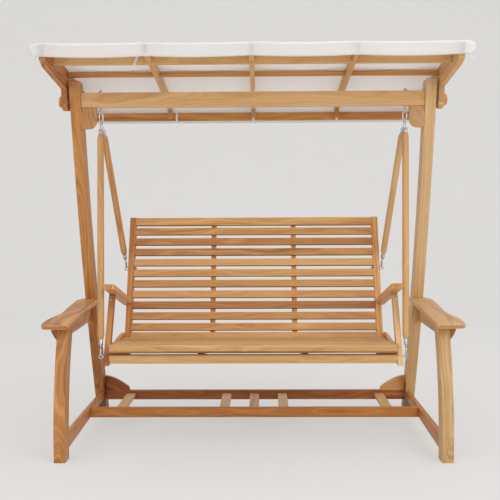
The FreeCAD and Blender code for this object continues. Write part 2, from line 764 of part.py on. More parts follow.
def corner_block():
    """Right block in the corner of the front rail and the side rail; over the rail it carries the nosing."""
    face = SEAT_FRONT_SETBACK + FRONT_RAIL_STEP
    start = face + FRONT_RAIL_THICK
    end = start + CORNER_BLOCK_DEPTH
    x0 = SEAT_INNER_X - CORNER_BLOCK_LENGTH
    top = seat_top(start, 0.5 * SEAT_SLAT_THICK)
    post = box(x0, SEAT_INNER_X, start, end, FRONT_RAIL_BOTTOM, top)
    cap = box(x0, SEAT_INNER_X, face, end, FRONT_RAIL_BOTTOM + FRONT_RAIL_HEIGHT, top)
    return post.fuse(cap).removeSplitter()


# Seat arms

def seat_arm_height(setback):
    """Height of the seat arm's top at a setback."""
    return SEAT_ARM_FRONT_TOP - SEAT_ARM_SLOPE * (setback - SEAT_FRONT_SETBACK - SEAT_ARM_FRONT_SETBACK)


def seat_arm_band(low, high, start, end, x0, x1):
    """Layer parallel to the seat arm's top, between two offsets from it."""
    points = [(start, seat_arm_height(start) + low), (end, seat_arm_height(end) + low),
              (end, seat_arm_height(end) + high), (start, seat_arm_height(start) + high)]
    return side_prism(points[0], polygon(points), x0, x1)


def seat_arm(stile):
    """Right seat arm: falls to the rear, rounded in front, notched round the stile."""
    start = SEAT_FRONT_SETBACK + SEAT_ARM_FRONT_SETBACK
    rise = seat_arm_height(start) - 0.5 * SEAT_ARM_THICK - BACK_FOOT_HEIGHT
    crossing = SEAT_FRONT_SETBACK + BACK_FOOT_SETBACK + rise * BACK_SIN / BACK_COS
    end = crossing + SEAT_ARM_TAIL
    x0 = SEAT_OUTER_X - SEAT_ARM_WIDTH
    x1 = SEAT_OUTER_X
    r = SEAT_ARM_CORNER
    arc = r * (1.0 - math.sqrt(0.5))
    outline = [((x1 - r, start),), ((x1 - arc, start + arc), (x1, start + r)), ((x1, end - r),),
               ((x1 - arc, end - arc), (x1 - r, end)), ((x0, end),), ((x0, start + r),),
               ((x0 + arc, start + arc), (x0 + r, start))]
    plan = plan_prism((x0 + r, start), outline, SEAT_REAR_TOP, PIVOT_HEIGHT)
    board = plan.common(seat_arm_band(-SEAT_ARM_THICK, 0.0, start - r, end + r, x0, x1))
    return max(board.cut(stile).Solids, key=lambda solid: solid.Volume)


def arm_support():
    """Right prop: from the foot of the seat up to the arm, leaning back."""
    lean = math.tan(math.radians(SUPPORT_LEAN))
    foot = SEAT_FRONT_SETBACK + SUPPORT_FOOT_SETBACK
    low = SEAT_RAIL_BOTTOM
    high = SEAT_ARM_FRONT_TOP
    base = seat_top(foot)
    points = [(foot + (low - base) * lean, low), (foot + SUPPORT_DEPTH + (low - base) * lean, low),
              (foot + SUPPORT_DEPTH + (high - base) * lean, high), (foot + (high - base) * lean, high)]
    prop = side_prism(points[0], polygon(points), SEAT_INNER_X, SEAT_OUTER_X)
    start = SEAT_FRONT_SETBACK - SEAT_DEPTH
    under = seat_arm_band(-FAR, -SEAT_ARM_THICK, start, start + 3.0 * SEAT_DEPTH, 0.0, SEAT_OUTER_X)
    return prop.common(under)


# Hanger bars

def front_eye_centre():
    """Ring centre of the right front seat eye."""
    x = SEAT_OUTER_X + FRONT_EYE_NECK + SEAT_EYE_RADIUS
    return point_at(x, SEAT_FRONT_SETBACK + SEAT_EYE_SETBACK, SEAT_EYE_HEIGHT)


def rear_eye_centre():
    """Ring centre of the right rear seat eye, on the back stile."""
    x = SEAT_INNER_X + SEAT_EYE_NECK + SEAT_EYE_RADIUS
    behind = BACK_SLAT_STEP + BACK_SLAT_THICK + SEAT_WASHER_RADIUS + FACE_GAP
    setback, height = back_point(BACK_EYE_RISE, behind)
    return point_at(x, setback, height)


def seat_eye_shank(centre, end_x):
    """Shank of a seat eye, from an inner X value out to its ring."""
    start = V(end_x, centre.y, centre.z)
    end = V(centre.x - SEAT_EYE_RADIUS, centre.y, centre.z)
    return rod(start, end, SEAT_BOLT_RADIUS)


def seat_eye(centre, end_x):
    """Eye on the seat: upright ring outside, shank to the inside."""
    ring = Part.makeTorus(SEAT_EYE_RADIUS, SEAT_EYE_WIRE, centre, V(0, 1, 0))
    return ring.fuse(seat_eye_shank(centre, end_x)).removeSplitter()


def seat_eye_nuts(centre, inner_x):
    """Washer and nut on the inside of the timber."""
    base = V(inner_x, centre.y, centre.z)
    seat = V(inner_x - WASHER_THICK, centre.y, centre.z)
    return [washer(base, V(-1, 0, 0), SEAT_WASHER_RADIUS, SEAT_BOLT_RADIUS),
            hex_nut(seat, V(-1, 0, 0), SEAT_NUT_ACROSS, SEAT_NUT_HEIGHT, SEAT_BOLT_RADIUS)]


class HangerBar:
    """One bar from the link to a seat eye, with its eye, ferrules and snap hook."""

    def __init__(self, x, eye_centre):
        inwards = abs(x - HOOK_X) + BAR_EYE_WIRE
        rise = LINK_HALF_WIDTH - math.sqrt(LINK_HALF_WIDTH ** 2 - inwards ** 2)
        wire = point_at(x, HOOK_SETBACK, LINK_FOOT_Z + rise)
        grip = eye_centre + V(0, 0, SEAT_EYE_RADIUS)
        self.down = (grip - wire).normalize()
        self.normal = (V(1, 0, 0) - self.down * self.down.x).normalize()
        self.across = self.normal.cross(self.down)
        self.ring = wire + self.down * (BAR_EYE_RADIUS - BAR_EYE_WIRE - LINK_WIRE - LINK_PLAY)
        self.hook_foot = grip + self.down * (SEAT_EYE_WIRE + SNAP_WIRE + FACE_GAP)
        self.top = self.ring + self.down * BAR_NECK
        self.bottom = self.hook_foot - self.down * (SNAP_LENGTH + SNAP_NECK)

    def eye(self):
        """Eye at the top, with its stem down into the ferrule."""
        ring = Part.makeTorus(BAR_EYE_RADIUS, BAR_EYE_WIRE, self.ring, self.normal)
        stem = rod(self.ring + self.down * BAR_EYE_RADIUS, self.top, BAR_EYE_WIRE)
        return ring.fuse(stem).removeSplitter()

    def ferrules(self):
        """Metal caps at both ends of the bar."""
        return [rod(self.top, self.top + self.down * FERRULE_LENGTH, FERRULE_RADIUS),
                rod(self.bottom - self.down * FERRULE_LENGTH, self.bottom, FERRULE_RADIUS)]

    def wood(self):
        """Round bar, tapered at both ends down to the ferrules."""
        start = self.top + self.down * FERRULE_LENGTH
        end = self.bottom - self.down * FERRULE_LENGTH
        run = (end - start).Length - 2.0 * BAR_TAPER
        first = start + self.down * BAR_TAPER
        last = end - self.down * BAR_TAPER
        upper = Part.makeCone(FERRULE_RADIUS, BAR_RADIUS, BAR_TAPER, start, self.down)
        middle = Part.makeCylinder(BAR_RADIUS, run, first, self.down)
        lower = Part.makeCone(BAR_RADIUS, FERRULE_RADIUS, BAR_TAPER, last, self.down)
        return upper.fuse([middle, lower]).removeSplitter()

    def hook(self):
        """Snap hook at the bottom: an oval of wire on a short stem."""
        top = self.hook_foot - self.down * SNAP_LENGTH
        loop = oval_link(top, self.down, self.across, SNAP_LENGTH, SNAP_HALF_WIDTH, SNAP_WIRE)
        return loop.fuse(rod(self.bottom, top, SNAP_WIRE)).removeSplitter()


# Canopy

def canopy_arc():
    """Arc of the canopy's top line, from the front to the start of its rear bend."""
    front = (CANOPY_FRONT_SETBACK, CANOPY_FRONT_TOP)
    back = (CANOPY_REAR_SETBACK - CANOPY_REAR_ROUND, CANOPY_REAR_TOP)
    chord = math.hypot(back[0] - front[0], back[1] - front[1])
    radius = chord ** 2 / (8.0 * CANOPY_ARCH) + 0.5 * CANOPY_ARCH
    centre = bow_between(front, back, -(radius - CANOPY_ARCH))
    return centre, radius


CANOPY_CENTRE, CANOPY_RADIUS = canopy_arc()


def canopy_top(setback, drop=0.0):
    """Height of the canopy's top line at a setback, less a drop square to it."""
    radius = CANOPY_RADIUS - drop
    return CANOPY_CENTRE[1] + math.sqrt(radius ** 2 - (setback - CANOPY_CENTRE[0]) ** 2)


def canopy_bend(offset):
    """Segments of the top line from the front to below the rear bend, offset outwards."""
    bend = CANOPY_REAR_SETBACK - CANOPY_REAR_ROUND
    middle = 0.5 * (CANOPY_FRONT_SETBACK + bend)
    start = (CANOPY_FRONT_SETBACK - offset, canopy_top(CANOPY_FRONT_SETBACK, -offset))
    knee = (bend, canopy_top(bend, -offset))
    arc = (CANOPY_REAR_ROUND + offset) * (1.0 - math.sqrt(0.5))
    back = CANOPY_REAR_SETBACK + offset
    foot = (back, canopy_top(bend, 0.0) - CANOPY_REAR_ROUND)
    shoulder = (back - arc, knee[1] - arc)
    return start, [((middle, canopy_top(middle, -offset)), knee), (shoulder, foot)]


def canopy_end_rib():
    """Right end rib: a deep board with a rounded tongue hanging round the pivot."""
    start, top = canopy_bend(0.0)
    front_low = (CANOPY_FRONT_SETBACK, CANOPY_FRONT_TOP - END_RIB_FRONT_DEPTH)
    tip = CANOPY_FRONT_SETBACK + END_RIB_TIP_LENGTH
    tip_low = (tip, canopy_top(tip) - END_RIB_DEPTH)
    rear_low = (CANOPY_REAR_SETBACK, CANOPY_REAR_TOP - END_RIB_REAR_DEPTH)
    outline = top + [(rear_low,), (tip_low,), (front_low,), (start,)]
    board = side_prism(start, outline, END_RIB_INNER_X, END_RIB_OUTER_X)
    pivot = (PIVOT_SETBACK, PIVOT_HEIGHT)
    r = TONGUE_RADIUS
    neck = canopy_top(PIVOT_SETBACK) - 0.5 * END_RIB_DEPTH
    tongue = side_prism((pivot[0] - r, neck), [((pivot[0] - r, pivot[1]),),
                        ((pivot[0], pivot[1] - r), (pivot[0] + r, pivot[1])),
                        ((pivot[0] + r, neck),), ((pivot[0] - r, neck),)], END_RIB_INNER_X, END_RIB_OUTER_X)
    inner = point_at(END_RIB_INNER_X, *pivot)
    outer = point_at(END_RIB_OUTER_X, *pivot)
    bore = rod(inner, outer, BOLT_RADIUS + RUNNING_FIT)
    return board.fuse(tongue).removeSplitter().cut(bore)


def canopy_rib(x):
    """Slender rib under the cloth with a heel at the rear rail."""
    start, top = canopy_bend(0.0)
    bend = CANOPY_REAR_SETBACK - CANOPY_REAR_ROUND
    front = CANOPY_FRONT_SETBACK
    heel_back = CANOPY_REAR_SETBACK - RAIL_DEEP
    heel_front = heel_back - RIB_HEEL
    middle = 0.5 * (front + bend)
    outline = top + [((CANOPY_REAR_SETBACK, RIB_HEEL_BOTTOM),), ((heel_front, RIB_HEEL_BOTTOM),),
                     ((heel_front, canopy_top(heel_front, RIB_DEPTH)),),
                     ((middle, canopy_top(middle, RIB_DEPTH)), (front, canopy_top(front, RIB_DEPTH))),
                     (start,)]
    half = 0.5 * RIB_WIDTH
    return side_prism(start, outline, x - half, x + half)


def canopy_rail_band(setback, z0, z1):
    """Straight rail between the end ribs."""
    return box(-END_RIB_INNER_X, END_RIB_INNER_X, setback, setback + RAIL_DEEP, z0, z1)


def halving(rail, ribs, height):
    """Cross halving: the rail loses its upper half at each rib, the rib its lower half."""
    upper = box(-END_RIB_INNER_X, END_RIB_INNER_X, 0.0, FAR, height, FAR)
    lower = box(-END_RIB_INNER_X, END_RIB_INNER_X, 0.0, FAR, 0.0, height)
    cut_ribs = [rib.cut(rail.common(lower)) for rib in ribs]
    return rail.cut(Part.makeCompound([rib.common(upper) for rib in ribs])), cut_ribs


def canopy_knob():
    """Right clamping knob on the pivot stud, a turned disc with eased edges."""
    x0 = END_RIB_OUTER_X + FACE_GAP
    base = point_at(x0, PIVOT_SETBACK, PIVOT_HEIGHT)
    disc = Part.makeCylinder(KNOB_RADIUS, KNOB_THICK, base, V(1, 0, 0))
    rims = [edge for edge in disc.Edges if edge.Closed]
    disc = disc.makeFillet(KNOB_EDGE, rims)
    depth = KNOB_THICK - KNOB_CAP
    return disc.cut(Part.makeCylinder(BOLT_RADIUS + RUNNING_FIT, depth, base, V(1, 0, 0)))


def pivot_stud():
    """Right pivot stud: fixed in the post, with a flange before the rib."""
    start = point_at(SIDE_OUTER_X - PIVOT_DEPTH_IN_POST, PIVOT_SETBACK, PIVOT_HEIGHT)
    tip = END_RIB_OUTER_X + FACE_GAP + KNOB_THICK - KNOB_CAP - FACE_GAP
    end = point_at(tip, PIVOT_SETBACK, PIVOT_HEIGHT)
    flange_x = END_RIB_INNER_X - FACE_GAP - PIVOT_FLANGE_THICK
    flange_base = point_at(flange_x, PIVOT_SETBACK, PIVOT_HEIGHT)
    flange = Part.makeCylinder(PIVOT_FLANGE_RADIUS, PIVOT_FLANGE_THICK, flange_base, V(1, 0, 0))
    return rod(start, end, BOLT_RADIUS).fuse(flange).removeSplitter()


def cloth_block(offset, half_x, hem_drop):
    """Everything under the cloth's face at an offset, down to the line between its hems."""
    start, top = canopy_bend(offset)
    back = top[-1][-1][0]
    front_hem = (start[0], CANOPY_FRONT_TOP - CLOTH_FRONT_DROP - hem_drop)
    rear_hem = (back, CLOTH_REAR_BOTTOM - hem_drop)
    outline = top + [(rear_hem,), (front_hem,), (start,)]
    return side_prism(start, outline, -half_x, half_x)


def canopy_cloth():
    """Cloth cover: top, front valance with slanted ends and rear valance as one thin shell."""
    outer = cloth_block(FACE_GAP + CLOTH_THICK, CLOTH_X, 0.0)
    inner = cloth_block(FACE_GAP, CLOTH_X + CLOTH_OVERHANG, CLOTH_OVERHANG)
    hem = CANOPY_FRONT_TOP - CLOTH_FRONT_DROP
    points = [(CLOTH_X - CLOTH_CORNER_WIDTH, hem), (CLOTH_X, hem + CLOTH_CORNER_HEIGHT), (CLOTH_X, hem)]
    front = CANOPY_FRONT_SETBACK - CLOTH_OVERHANG
    corner = front_prism(points[0], polygon(points), front, CANOPY_FRONT_SETBACK)
    return outer.cut([inner] + both(corner))


def tie(x, setback, z0, top):
    """Cloth tie looped under a rail and up to the cloth on both sides."""
    gap = FACE_GAP
    s0 = setback - gap - TIE_THICK
    s1 = setback + RAIL_DEEP + gap + TIE_THICK
    band = box(x, x + TIE_WIDTH, s0, s1, z0 - gap - TIE_THICK, top)
    return band.cut(box(x, x + TIE_WIDTH, s0 + TIE_THICK, s1 - TIE_THICK, z0 - gap, top))


def canopy_ties():
    """One tie on the front rail, and one on the rear rail beside each rib."""
    half = 0.5 * RIB_WIDTH
    front = CANOPY_FRONT_RAIL_SETBACK
    front_top = canopy_top(front + RAIL_DEEP + TIE_THICK) - TIE_THICK
    rear_top = CANOPY_REAR_RAIL_BOTTOM + CANOPY_REAR_RAIL_HEIGHT
    rear = CANOPY_REAR_SETBACK - RAIL_DEEP
    ties = [tie(FRONT_TIE_X, front, CANOPY_FRONT_RAIL_BOTTOM, front_top)]
    for x in (half - RIB_X, -half - TIE_WIDTH, RIB_X - half - TIE_WIDTH):
        ties.append(rear_tie(x, rear, rear_top))
    return ties


def rear_tie(x, setback, top):
    """Tie folded over the inner face and both edges of the rear rail."""
    s0 = setback - FACE_GAP - TIE_THICK
    low = CANOPY_REAR_RAIL_BOTTOM - FACE_GAP - TIE_THICK
    high = top + FACE_GAP + TIE_THICK
    band = box(x, x + TIE_WIDTH, s0, setback + RAIL_DEEP, low, high)
    space = box(x, x + TIE_WIDTH, s0 + TIE_THICK, setback + RAIL_DEEP, low + TIE_THICK, high - TIE_THICK)
    return band.cut(space)


# Assembly

def frame_nodes():
    """Nodes of the standing frame."""
    nodes = {}
    leg_raw = LEG.solid(0.0, arm_underside(FAR), SIDE_INNER_X, SIDE_OUTER_X).common(below_arm())
    post_raw = POST.solid(0.0, POST_TOP_HEIGHT, SIDE_INNER_X, SIDE_OUTER_X)
    tenons = [shape.common(timber) for shape, timber in zip(side_rail_tenons(), (leg_raw, post_raw))]
    stud = pivot_stud()
    boards = base_boards()
    front_rail = cross_rail(SIDE_RAIL_INNER_X, STUB_TENON, FRONT_CROSS_SETBACK, RAIL_BOTTOM, RAIL_TOP,
                            CROSS_RAIL_THICK)
    rear_rail = cross_rail(SIDE_INNER_X, STUB_TENON, REAR_CROSS_SETBACK, RAIL_BOTTOM, RAIL_TOP,
                           CROSS_RAIL_THICK)
    beam = cross_rail(SIDE_INNER_X, LONG_TENON, BEAM_SETBACK, BEAM_BOTTOM, BEAM_TOP, BEAM_THICK)
    leg = leg_raw.cut(tenons[0])
    post = post_raw.cut(tenons[1]).cut(rear_rail).cut(beam).cut(stud)
    rail = side_rail(leg_raw, post_raw, tenons).cut(front_rail).cut(rear_rail)
    shanks = [hanger_shank(x) for x in (-HOOK_X, HOOK_X)]
    for side in SIDES:
        nodes["front_leg_" + side] = on_side(leg, side)
        nodes["rear_post_" + side] = on_side(post, side)
        nodes["side_rail_" + side] = on_side(rail, side)
        nodes["frame_arm_" + side] = on_side(frame_arm(post_raw), side)
        nodes["arm_apron_" + side] = on_side(arm_apron(leg_raw, post_raw), side)
        nodes["arm_corbel_" + side] = on_side(arm_corbel(), side)
        nodes["rear_gusset_" + side] = on_side(rear_gusset(), side)
        nodes["beam_block_" + side] = on_side(beam_block(), side)
    nodes["front_cross_rail"] = front_rail.cut(boards)
    nodes["rear_cross_rail"] = rear_rail.cut(boards)
    nodes["base_boards"] = Part.makeCompound(boards)
    nodes["top_beam"] = beam.cut(shanks + both(stud))
    nodes["hanger_eye_bolts"] = Part.makeCompound([hanger_eye_bolt(x) for x in (-HOOK_X, HOOK_X)])
    nodes["eye_bolt_nuts"] = Part.makeCompound(hanger_nuts(-HOOK_X) + hanger_nuts(HOOK_X))
    nodes["canopy_pivot_studs"] = Part.makeCompound(both(stud))
    return nodes


def swing_nodes():
    """Nodes of the hanging bench."""
    nodes = {}
    slats = seat_slats()
    slat_set = Part.makeCompound(slats)
    backs = back_slats()
    prop_raw = arm_support()
    front_rail = seat_front_rail(prop_raw)
    rear_rail = seat_rear_rail().cut(slat_set)
    eyes = {"front": front_eye_centre(), "rear": rear_eye_centre()}
    shank_ends = {"front": SEAT_INNER_X + EYE_SCREW_COVER,
                  "rear": STILE_INNER_X - WASHER_THICK - SEAT_NUT_HEIGHT - BOLT_END}
    stile_raw = back_stile()
    rail = seat_side_rail(prop_raw).cut(slat_set).cut(rear_rail)
    prop = prop_raw.cut(slat_set).cut(front_rail).cut(seat_eye_shank(eyes["front"], shank_ends["front"]))
    stile = stile_raw.cut(backs).cut(slat_set).cut(rear_rail)
    stile = stile.cut(seat_eye_shank(eyes["rear"], shank_ends["rear"]))
    bearer = seat_bearer().cut(slat_set).cut(rear_rail)
    block = corner_block().cut(slat_set)
    bars = {"front": HangerBar(HOOK_X + BAR_EYE_OFFSET, eyes["front"]),
            "rear": HangerBar(HOOK_X - BAR_EYE_OFFSET, eyes["rear"])}
    for side in SIDES:
        nodes["seat_side_rail_" + side] = on_side(rail, side)
        nodes["back_stile_" + side] = on_side(stile, side)
        nodes["seat_arm_" + side] = on_side(seat_arm(stile_raw), side)
        nodes["arm_support_" + side] = on_side(prop, side)
        for place, bar in bars.items():
            nodes["hanger_bar_" + place + "_" + side] = on_side(bar.wood(), side)
    ferrules = []
    top_eyes = []
    hooks = []
    seat_eyes = []
    nuts = [nut for piece in seat_eye_nuts(eyes["rear"], STILE_INNER_X) for nut in both(piece)]
    for place, bar in bars.items():
        for ferrule in bar.ferrules():
            ferrules += both(ferrule)
        top_eyes += both(bar.eye())
        hooks += both(bar.hook())
        seat_eyes += both(seat_eye(eyes[place], shank_ends[place]))
    nodes["hanger_links"] = Part.makeCompound(both(hanger_link()))
    nodes["bar_ferrules"] = Part.makeCompound(ferrules)
    nodes["bar_top_eyes"] = Part.makeCompound(top_eyes)
    nodes["bar_snap_hooks"] = Part.makeCompound(hooks)
    nodes["seat_eye_bolts"] = Part.makeCompound(seat_eyes)
    nodes["seat_eye_nuts"] = Part.makeCompound(nuts)
    nodes["seat_front_rail"] = front_rail
    nodes["seat_rear_rail"] = rear_rail
    nodes["seat_bearers"] = Part.makeCompound(both(bearer))
    nodes["seat_corner_blocks"] = Part.makeCompound(both(block))
    nodes["seat_slats"] = slat_set
    nodes["back_slats"] = Part.makeCompound(backs)
    nodes["back_battens"] = Part.makeCompound(both(back_batten()))
    return nodes


def canopy_nodes():
    """Nodes of the tilting canopy and its two knobs."""
    nodes = {}
    ribs = [canopy_rib(x) for x in (-RIB_X, 0.0, RIB_X)]
    front_top = canopy_top(CANOPY_FRONT_RAIL_SETBACK + RAIL_DEEP) - TIE_THICK
    front = canopy_rail_band(CANOPY_FRONT_RAIL_SETBACK, CANOPY_FRONT_RAIL_BOTTOM, front_top)
    mid_top = CANOPY_MID_RAIL_BOTTOM + CANOPY_MID_RAIL_HEIGHT
    middle = canopy_rail_band(CANOPY_MID_RAIL_SETBACK, CANOPY_MID_RAIL_BOTTOM, mid_top)
    rear_top = CANOPY_REAR_RAIL_BOTTOM + CANOPY_REAR_RAIL_HEIGHT
    rear = canopy_rail_band(CANOPY_REAR_SETBACK - RAIL_DEEP, CANOPY_REAR_RAIL_BOTTOM, rear_top)
    front, ribs = halving(front, ribs, 0.5 * (CANOPY_FRONT_RAIL_BOTTOM + front_top))
    ribs = [rib.cut(middle).cut(rear) for rib in ribs]
    for side in SIDES:
        nodes["canopy_end_rib_" + side] = on_side(canopy_end_rib(), side)
        nodes["canopy_knob_" + side] = on_side(canopy_knob(), side)
    nodes["canopy_ribs"] = Part.makeCompound(ribs)
    nodes["canopy_front_rail"] = front
    nodes["canopy_mid_rail"] = middle
    nodes["canopy_rear_rail"] = rear
    nodes["canopy_cloth"] = canopy_cloth()
    nodes["canopy_ties"] = Part.makeCompound(canopy_ties())
    return nodes


def main():
    """Builds every node and writes each to its own file."""
    os.makedirs("parts", exist_ok=True)
    nodes = {}
    nodes.update(frame_nodes())
    nodes.update(swing_nodes())
    nodes.update(canopy_nodes())
    for name, shape in nodes.items():
        shape.exportStep("parts/" + name + ".step")
    print("nodes", len(nodes))
    print("swing hinge at", round(HOOK_SETBACK + Y_SHIFT, 2), round(HINGE_Z, 2))
    print("canopy pivot at", round(PIVOT_SETBACK + Y_SHIFT, 2), round(PIVOT_HEIGHT, 2))


main()
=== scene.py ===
"""Looks of a garden swing bench: oiled teak, plated steel hardware and a canvas canopy.

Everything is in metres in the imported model's frame: X along the bench, the front faces -Y, Z up.
"""
import logging
import math
import random
from dataclasses import dataclass, field
from enum import Enum

import bmesh
import bpy
import numpy as np
from mathutils import Matrix, Vector, noise


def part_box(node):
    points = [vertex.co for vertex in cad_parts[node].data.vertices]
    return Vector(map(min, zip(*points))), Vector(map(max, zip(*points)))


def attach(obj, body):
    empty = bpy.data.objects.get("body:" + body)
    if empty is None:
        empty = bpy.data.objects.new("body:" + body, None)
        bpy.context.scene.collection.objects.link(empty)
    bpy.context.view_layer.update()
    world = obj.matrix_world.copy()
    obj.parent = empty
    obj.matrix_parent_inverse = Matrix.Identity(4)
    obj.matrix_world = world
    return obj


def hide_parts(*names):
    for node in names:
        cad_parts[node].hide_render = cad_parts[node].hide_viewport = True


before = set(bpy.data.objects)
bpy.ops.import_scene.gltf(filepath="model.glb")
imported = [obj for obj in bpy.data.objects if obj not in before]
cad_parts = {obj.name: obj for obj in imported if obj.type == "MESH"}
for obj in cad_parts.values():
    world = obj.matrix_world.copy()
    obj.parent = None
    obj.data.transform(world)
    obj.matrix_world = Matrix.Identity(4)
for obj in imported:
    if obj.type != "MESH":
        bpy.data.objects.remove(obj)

LOG = logging.getLogger("swing_bench")
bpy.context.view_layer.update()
MERGE_DISTANCE = 1e-5
FLAT_ANGLE = math.radians(0.2)
EDGE_ANGLE = math.radians(28.0)
END_GRAIN_COSINE = 0.85
# Steps across a rounded edge
EDGE_STEPS = 2
SOFT_STEPS = 3
ROUND_STEPS = 4
FLAT_WEIGHT = 80
# A plank's grain starts at a drawn place beside the tree's middle, with a drawn tint and warmth
PITH_REACH = ((-9.0, 9.0), (-0.05, 0.05), (0.03, 0.10))
TINT_REACH = (-0.5, 0.5)
WARMTH_REACH = (-0.05, 0.30)
WARMTH_OF_TINT = 0.5
NO_CAST = (0.0, 0.0)
PLAIN = {0: 0.0}
# How fast the painted shade darkens a downward face, and how far a face is turned to count as a front or an
# inner side
UNDER_SLOPE = 2.0
GROOVE_FACING = 0.25
FOOT_FACING = 0.3
# On a rear post: where its painted shade towards the foot fades, and the top of the painted shade on its inner
# side and on its front
FOOT_FADE = (0.58, 0.90)
INSIDE_HEIGHT = 0.17
FOOT_HEIGHT = 0.085
# Length of one band of the wave texture at a scale of 1
BAND_PERIOD = math.tau / 20.0
IMAGE_SIDE = 500.0
SENSOR = 36.0
SIDES = ("left", "right")

Colour = tuple[float, float, float]
Place = tuple[float, float, float]
# Tint and warmth that are added to the planks of a node: partly its tone, partly painted light and shade
Cast = tuple[float, float]
# Height that is added to the lower and to the upper side of a plank
Shift = tuple[float, float]
Material = bpy.types.Material
Piece = bpy.types.Object
Socket = bpy.types.NodeSocket
Mesh = bmesh.types.BMesh
Vert = bmesh.types.BMVert
Edge = bmesh.types.BMEdge


class Body(Enum):
    """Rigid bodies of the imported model."""

    FRAME = "frame"
    SWING = "swing"
    CANOPY = "canopy"
    KNOB_LEFT = "knob_left"
    KNOB_RIGHT = "knob_right"


class Slot(Enum):
    """Material slots of the record."""

    TEAK = "teak"
    BAR_WOOD = "bar_wood"
    STEEL = "steel"
    CLOTH = "cloth"


# Materials

class NodeSheet:
    """A small helper that lays out one node material."""

    def __init__(self, name: str) -> None:
        """Starts a material with an empty Principled shader.

        Args:
            name: name of the material.
        """
        self.material = bpy.data.materials.new(name)
        self.material.use_nodes = True
        self.tree = self.material.node_tree
        self.shader = self.tree.nodes["Principled BSDF"]

    def add(self, kind: str, **values: object) -> bpy.types.Node:
        """Adds a node and sets its properties.

        Args:
            kind: Blender's name of the node type.
            values: properties of the node.

        Returns:
            The new node.
        """
        node = self.tree.nodes.new(kind)
        for key, value in values.items():
            setattr(node, key, value)
        return node

    def put(self, value: object, socket: Socket) -> None:
        """Links a socket to another one, or sets its number or colour.

        Args:
            value: a socket, a number or three colour channels.
            socket: the input that takes it.
        """
        if isinstance(value, Socket):
            self.tree.links.new(value, socket)
        elif isinstance(value, tuple) and socket.type == "RGBA":
            socket.default_value = (*value, 1.0)
        else:
            socket.default_value = value

    def attribute(self, name: str, output: str = "Fac") -> Socket:
        """Reads a mesh attribute."""
        return self.add("ShaderNodeAttribute", attribute_name=name).outputs[output]

    def stretched(self, vector: Socket, scale: Place) -> Socket:
        """Scales a coordinate along its three axes.

        Args:
            vector: the coordinate.
            scale: one factor for each axis.

        Returns:
            The new coordinate.
        """
        node = self.add("ShaderNodeVectorMath", operation="MULTIPLY")
        self.put(vector, node.inputs[0])
        self.put(scale, node.inputs[1])
        return node.outputs[0]

    def length(self, vector: Socket) -> Socket:
        """Length of a vector.

        Args:
            vector: the vector.

        Returns:
            The length's socket.
        """
        node = self.add("ShaderNodeVectorMath", operation="LENGTH")
        self.put(vector, node.inputs[0])
        return node.outputs["Value"]

    def noise(self, vector: Socket, detail: float, rough: float = 0.5) -> Socket:
        """Noise over a coordinate that is already scaled.

        Args:
            vector: the coordinate.
            detail: octaves of the noise.
            rough: how strong the finer octaves are.

        Returns:
            The noise's socket.
        """
        node = self.add("ShaderNodeTexNoise")
        self.put(vector, node.inputs["Vector"])
        for key, value in (("Scale", 1.0), ("Detail", detail), ("Roughness", rough)):
            self.put(value, node.inputs[key])
        return node.outputs["Fac"]

    def line_noise(self, value: Socket, scale: float, detail: float) -> Socket:
        """Noise along a single number.

        Args:
            value: the number.
            scale: how often the noise changes.
            detail: octaves of the noise.

        Returns:
            The noise's socket.
        """
        node = self.add("ShaderNodeTexNoise", noise_dimensions="1D")
        self.put(value, node.inputs["W"])
        self.put(scale, node.inputs["Scale"])
        self.put(detail, node.inputs["Detail"])
        return node.outputs["Fac"]

    def math(self, operation: str, *values: object) -> Socket:
        """Works out one number.

        Args:
            operation: Blender's name of the operation.
            values: sockets or numbers.

        Returns:
            The result's socket.
        """
        node = self.add("ShaderNodeMath", operation=operation)
        for value, socket in zip(values, node.inputs):
            self.put(value, socket)
        return node.outputs[0]

    def weighed(self, *terms: tuple[Socket, float]) -> Socket:
        """Adds several values, each times its weight.

        Args:
            terms: values and their weights.

        Returns:
            The sum's socket.
        """
        total = self.math("MULTIPLY", *terms[0])
        for value, weight in terms[1:]:
            total = self.math("MULTIPLY_ADD", value, weight, total)
        return total

    def ranged(self, value: Socket, source: tuple[float, float],
               target: tuple[float, float] = (0.0, 1.0)) -> Socket:
        """Maps a value from one range to another, held at the ends.

        Args:
            value: the value.
            source: ends of the range that it comes from.
            target: ends of the new range.

        Returns:
            The result's socket.
        """
        node = self.add("ShaderNodeMapRange")
        self.put(value, node.inputs["Value"])
        for key, number in zip(("From Min", "From Max", "To Min", "To Max"), source + target):
            self.put(number, node.inputs[key])
        return node.outputs[0]

    def ramp(self, value: Socket, stops: tuple[float, ...], colours: tuple[Colour, ...]) -> Socket:
        """Colours a value.

        Args:
            value: what the ramp reads.
            stops: places along the ramp.
            colours: the colour at each place.

        Returns:
            The colour.
        """
        node = self.add("ShaderNodeValToRGB")
        elements = node.color_ramp.elements
        while len(elements) < len(stops):
            elements.new(0.5)
        for element, place, colour in zip(elements, stops, colours):
            element.position = place
            element.color = (*colour, 1.0)
        self.put(value, node.inputs[0])
        return node.outputs["Color"]

    def mix(self, factor: object, a: object, b: object, blend: str = "MIX") -> Socket:
        """Mixes two colours, each a socket or three numbers.

        Args:
            factor: share of the second colour.
            a: the first colour.
            b: the second colour.
            blend: Blender's name of the way of mixing.

        Returns:
            The colour's socket.
        """
        node = self.add("ShaderNodeMix", data_type="RGBA", blend_type=blend)
        for socket, value in ((node.inputs[0], factor), (node.inputs[6], a), (node.inputs[7], b)):
            self.put(value, socket)
        return node.outputs[2]

    def surface(self, **values: object) -> None:
        """Sets or links inputs of the shader, with spaces in their names as underscores."""
        for key, value in values.items():
            self.put(value, self.shader.inputs[key.replace("_", " ")])

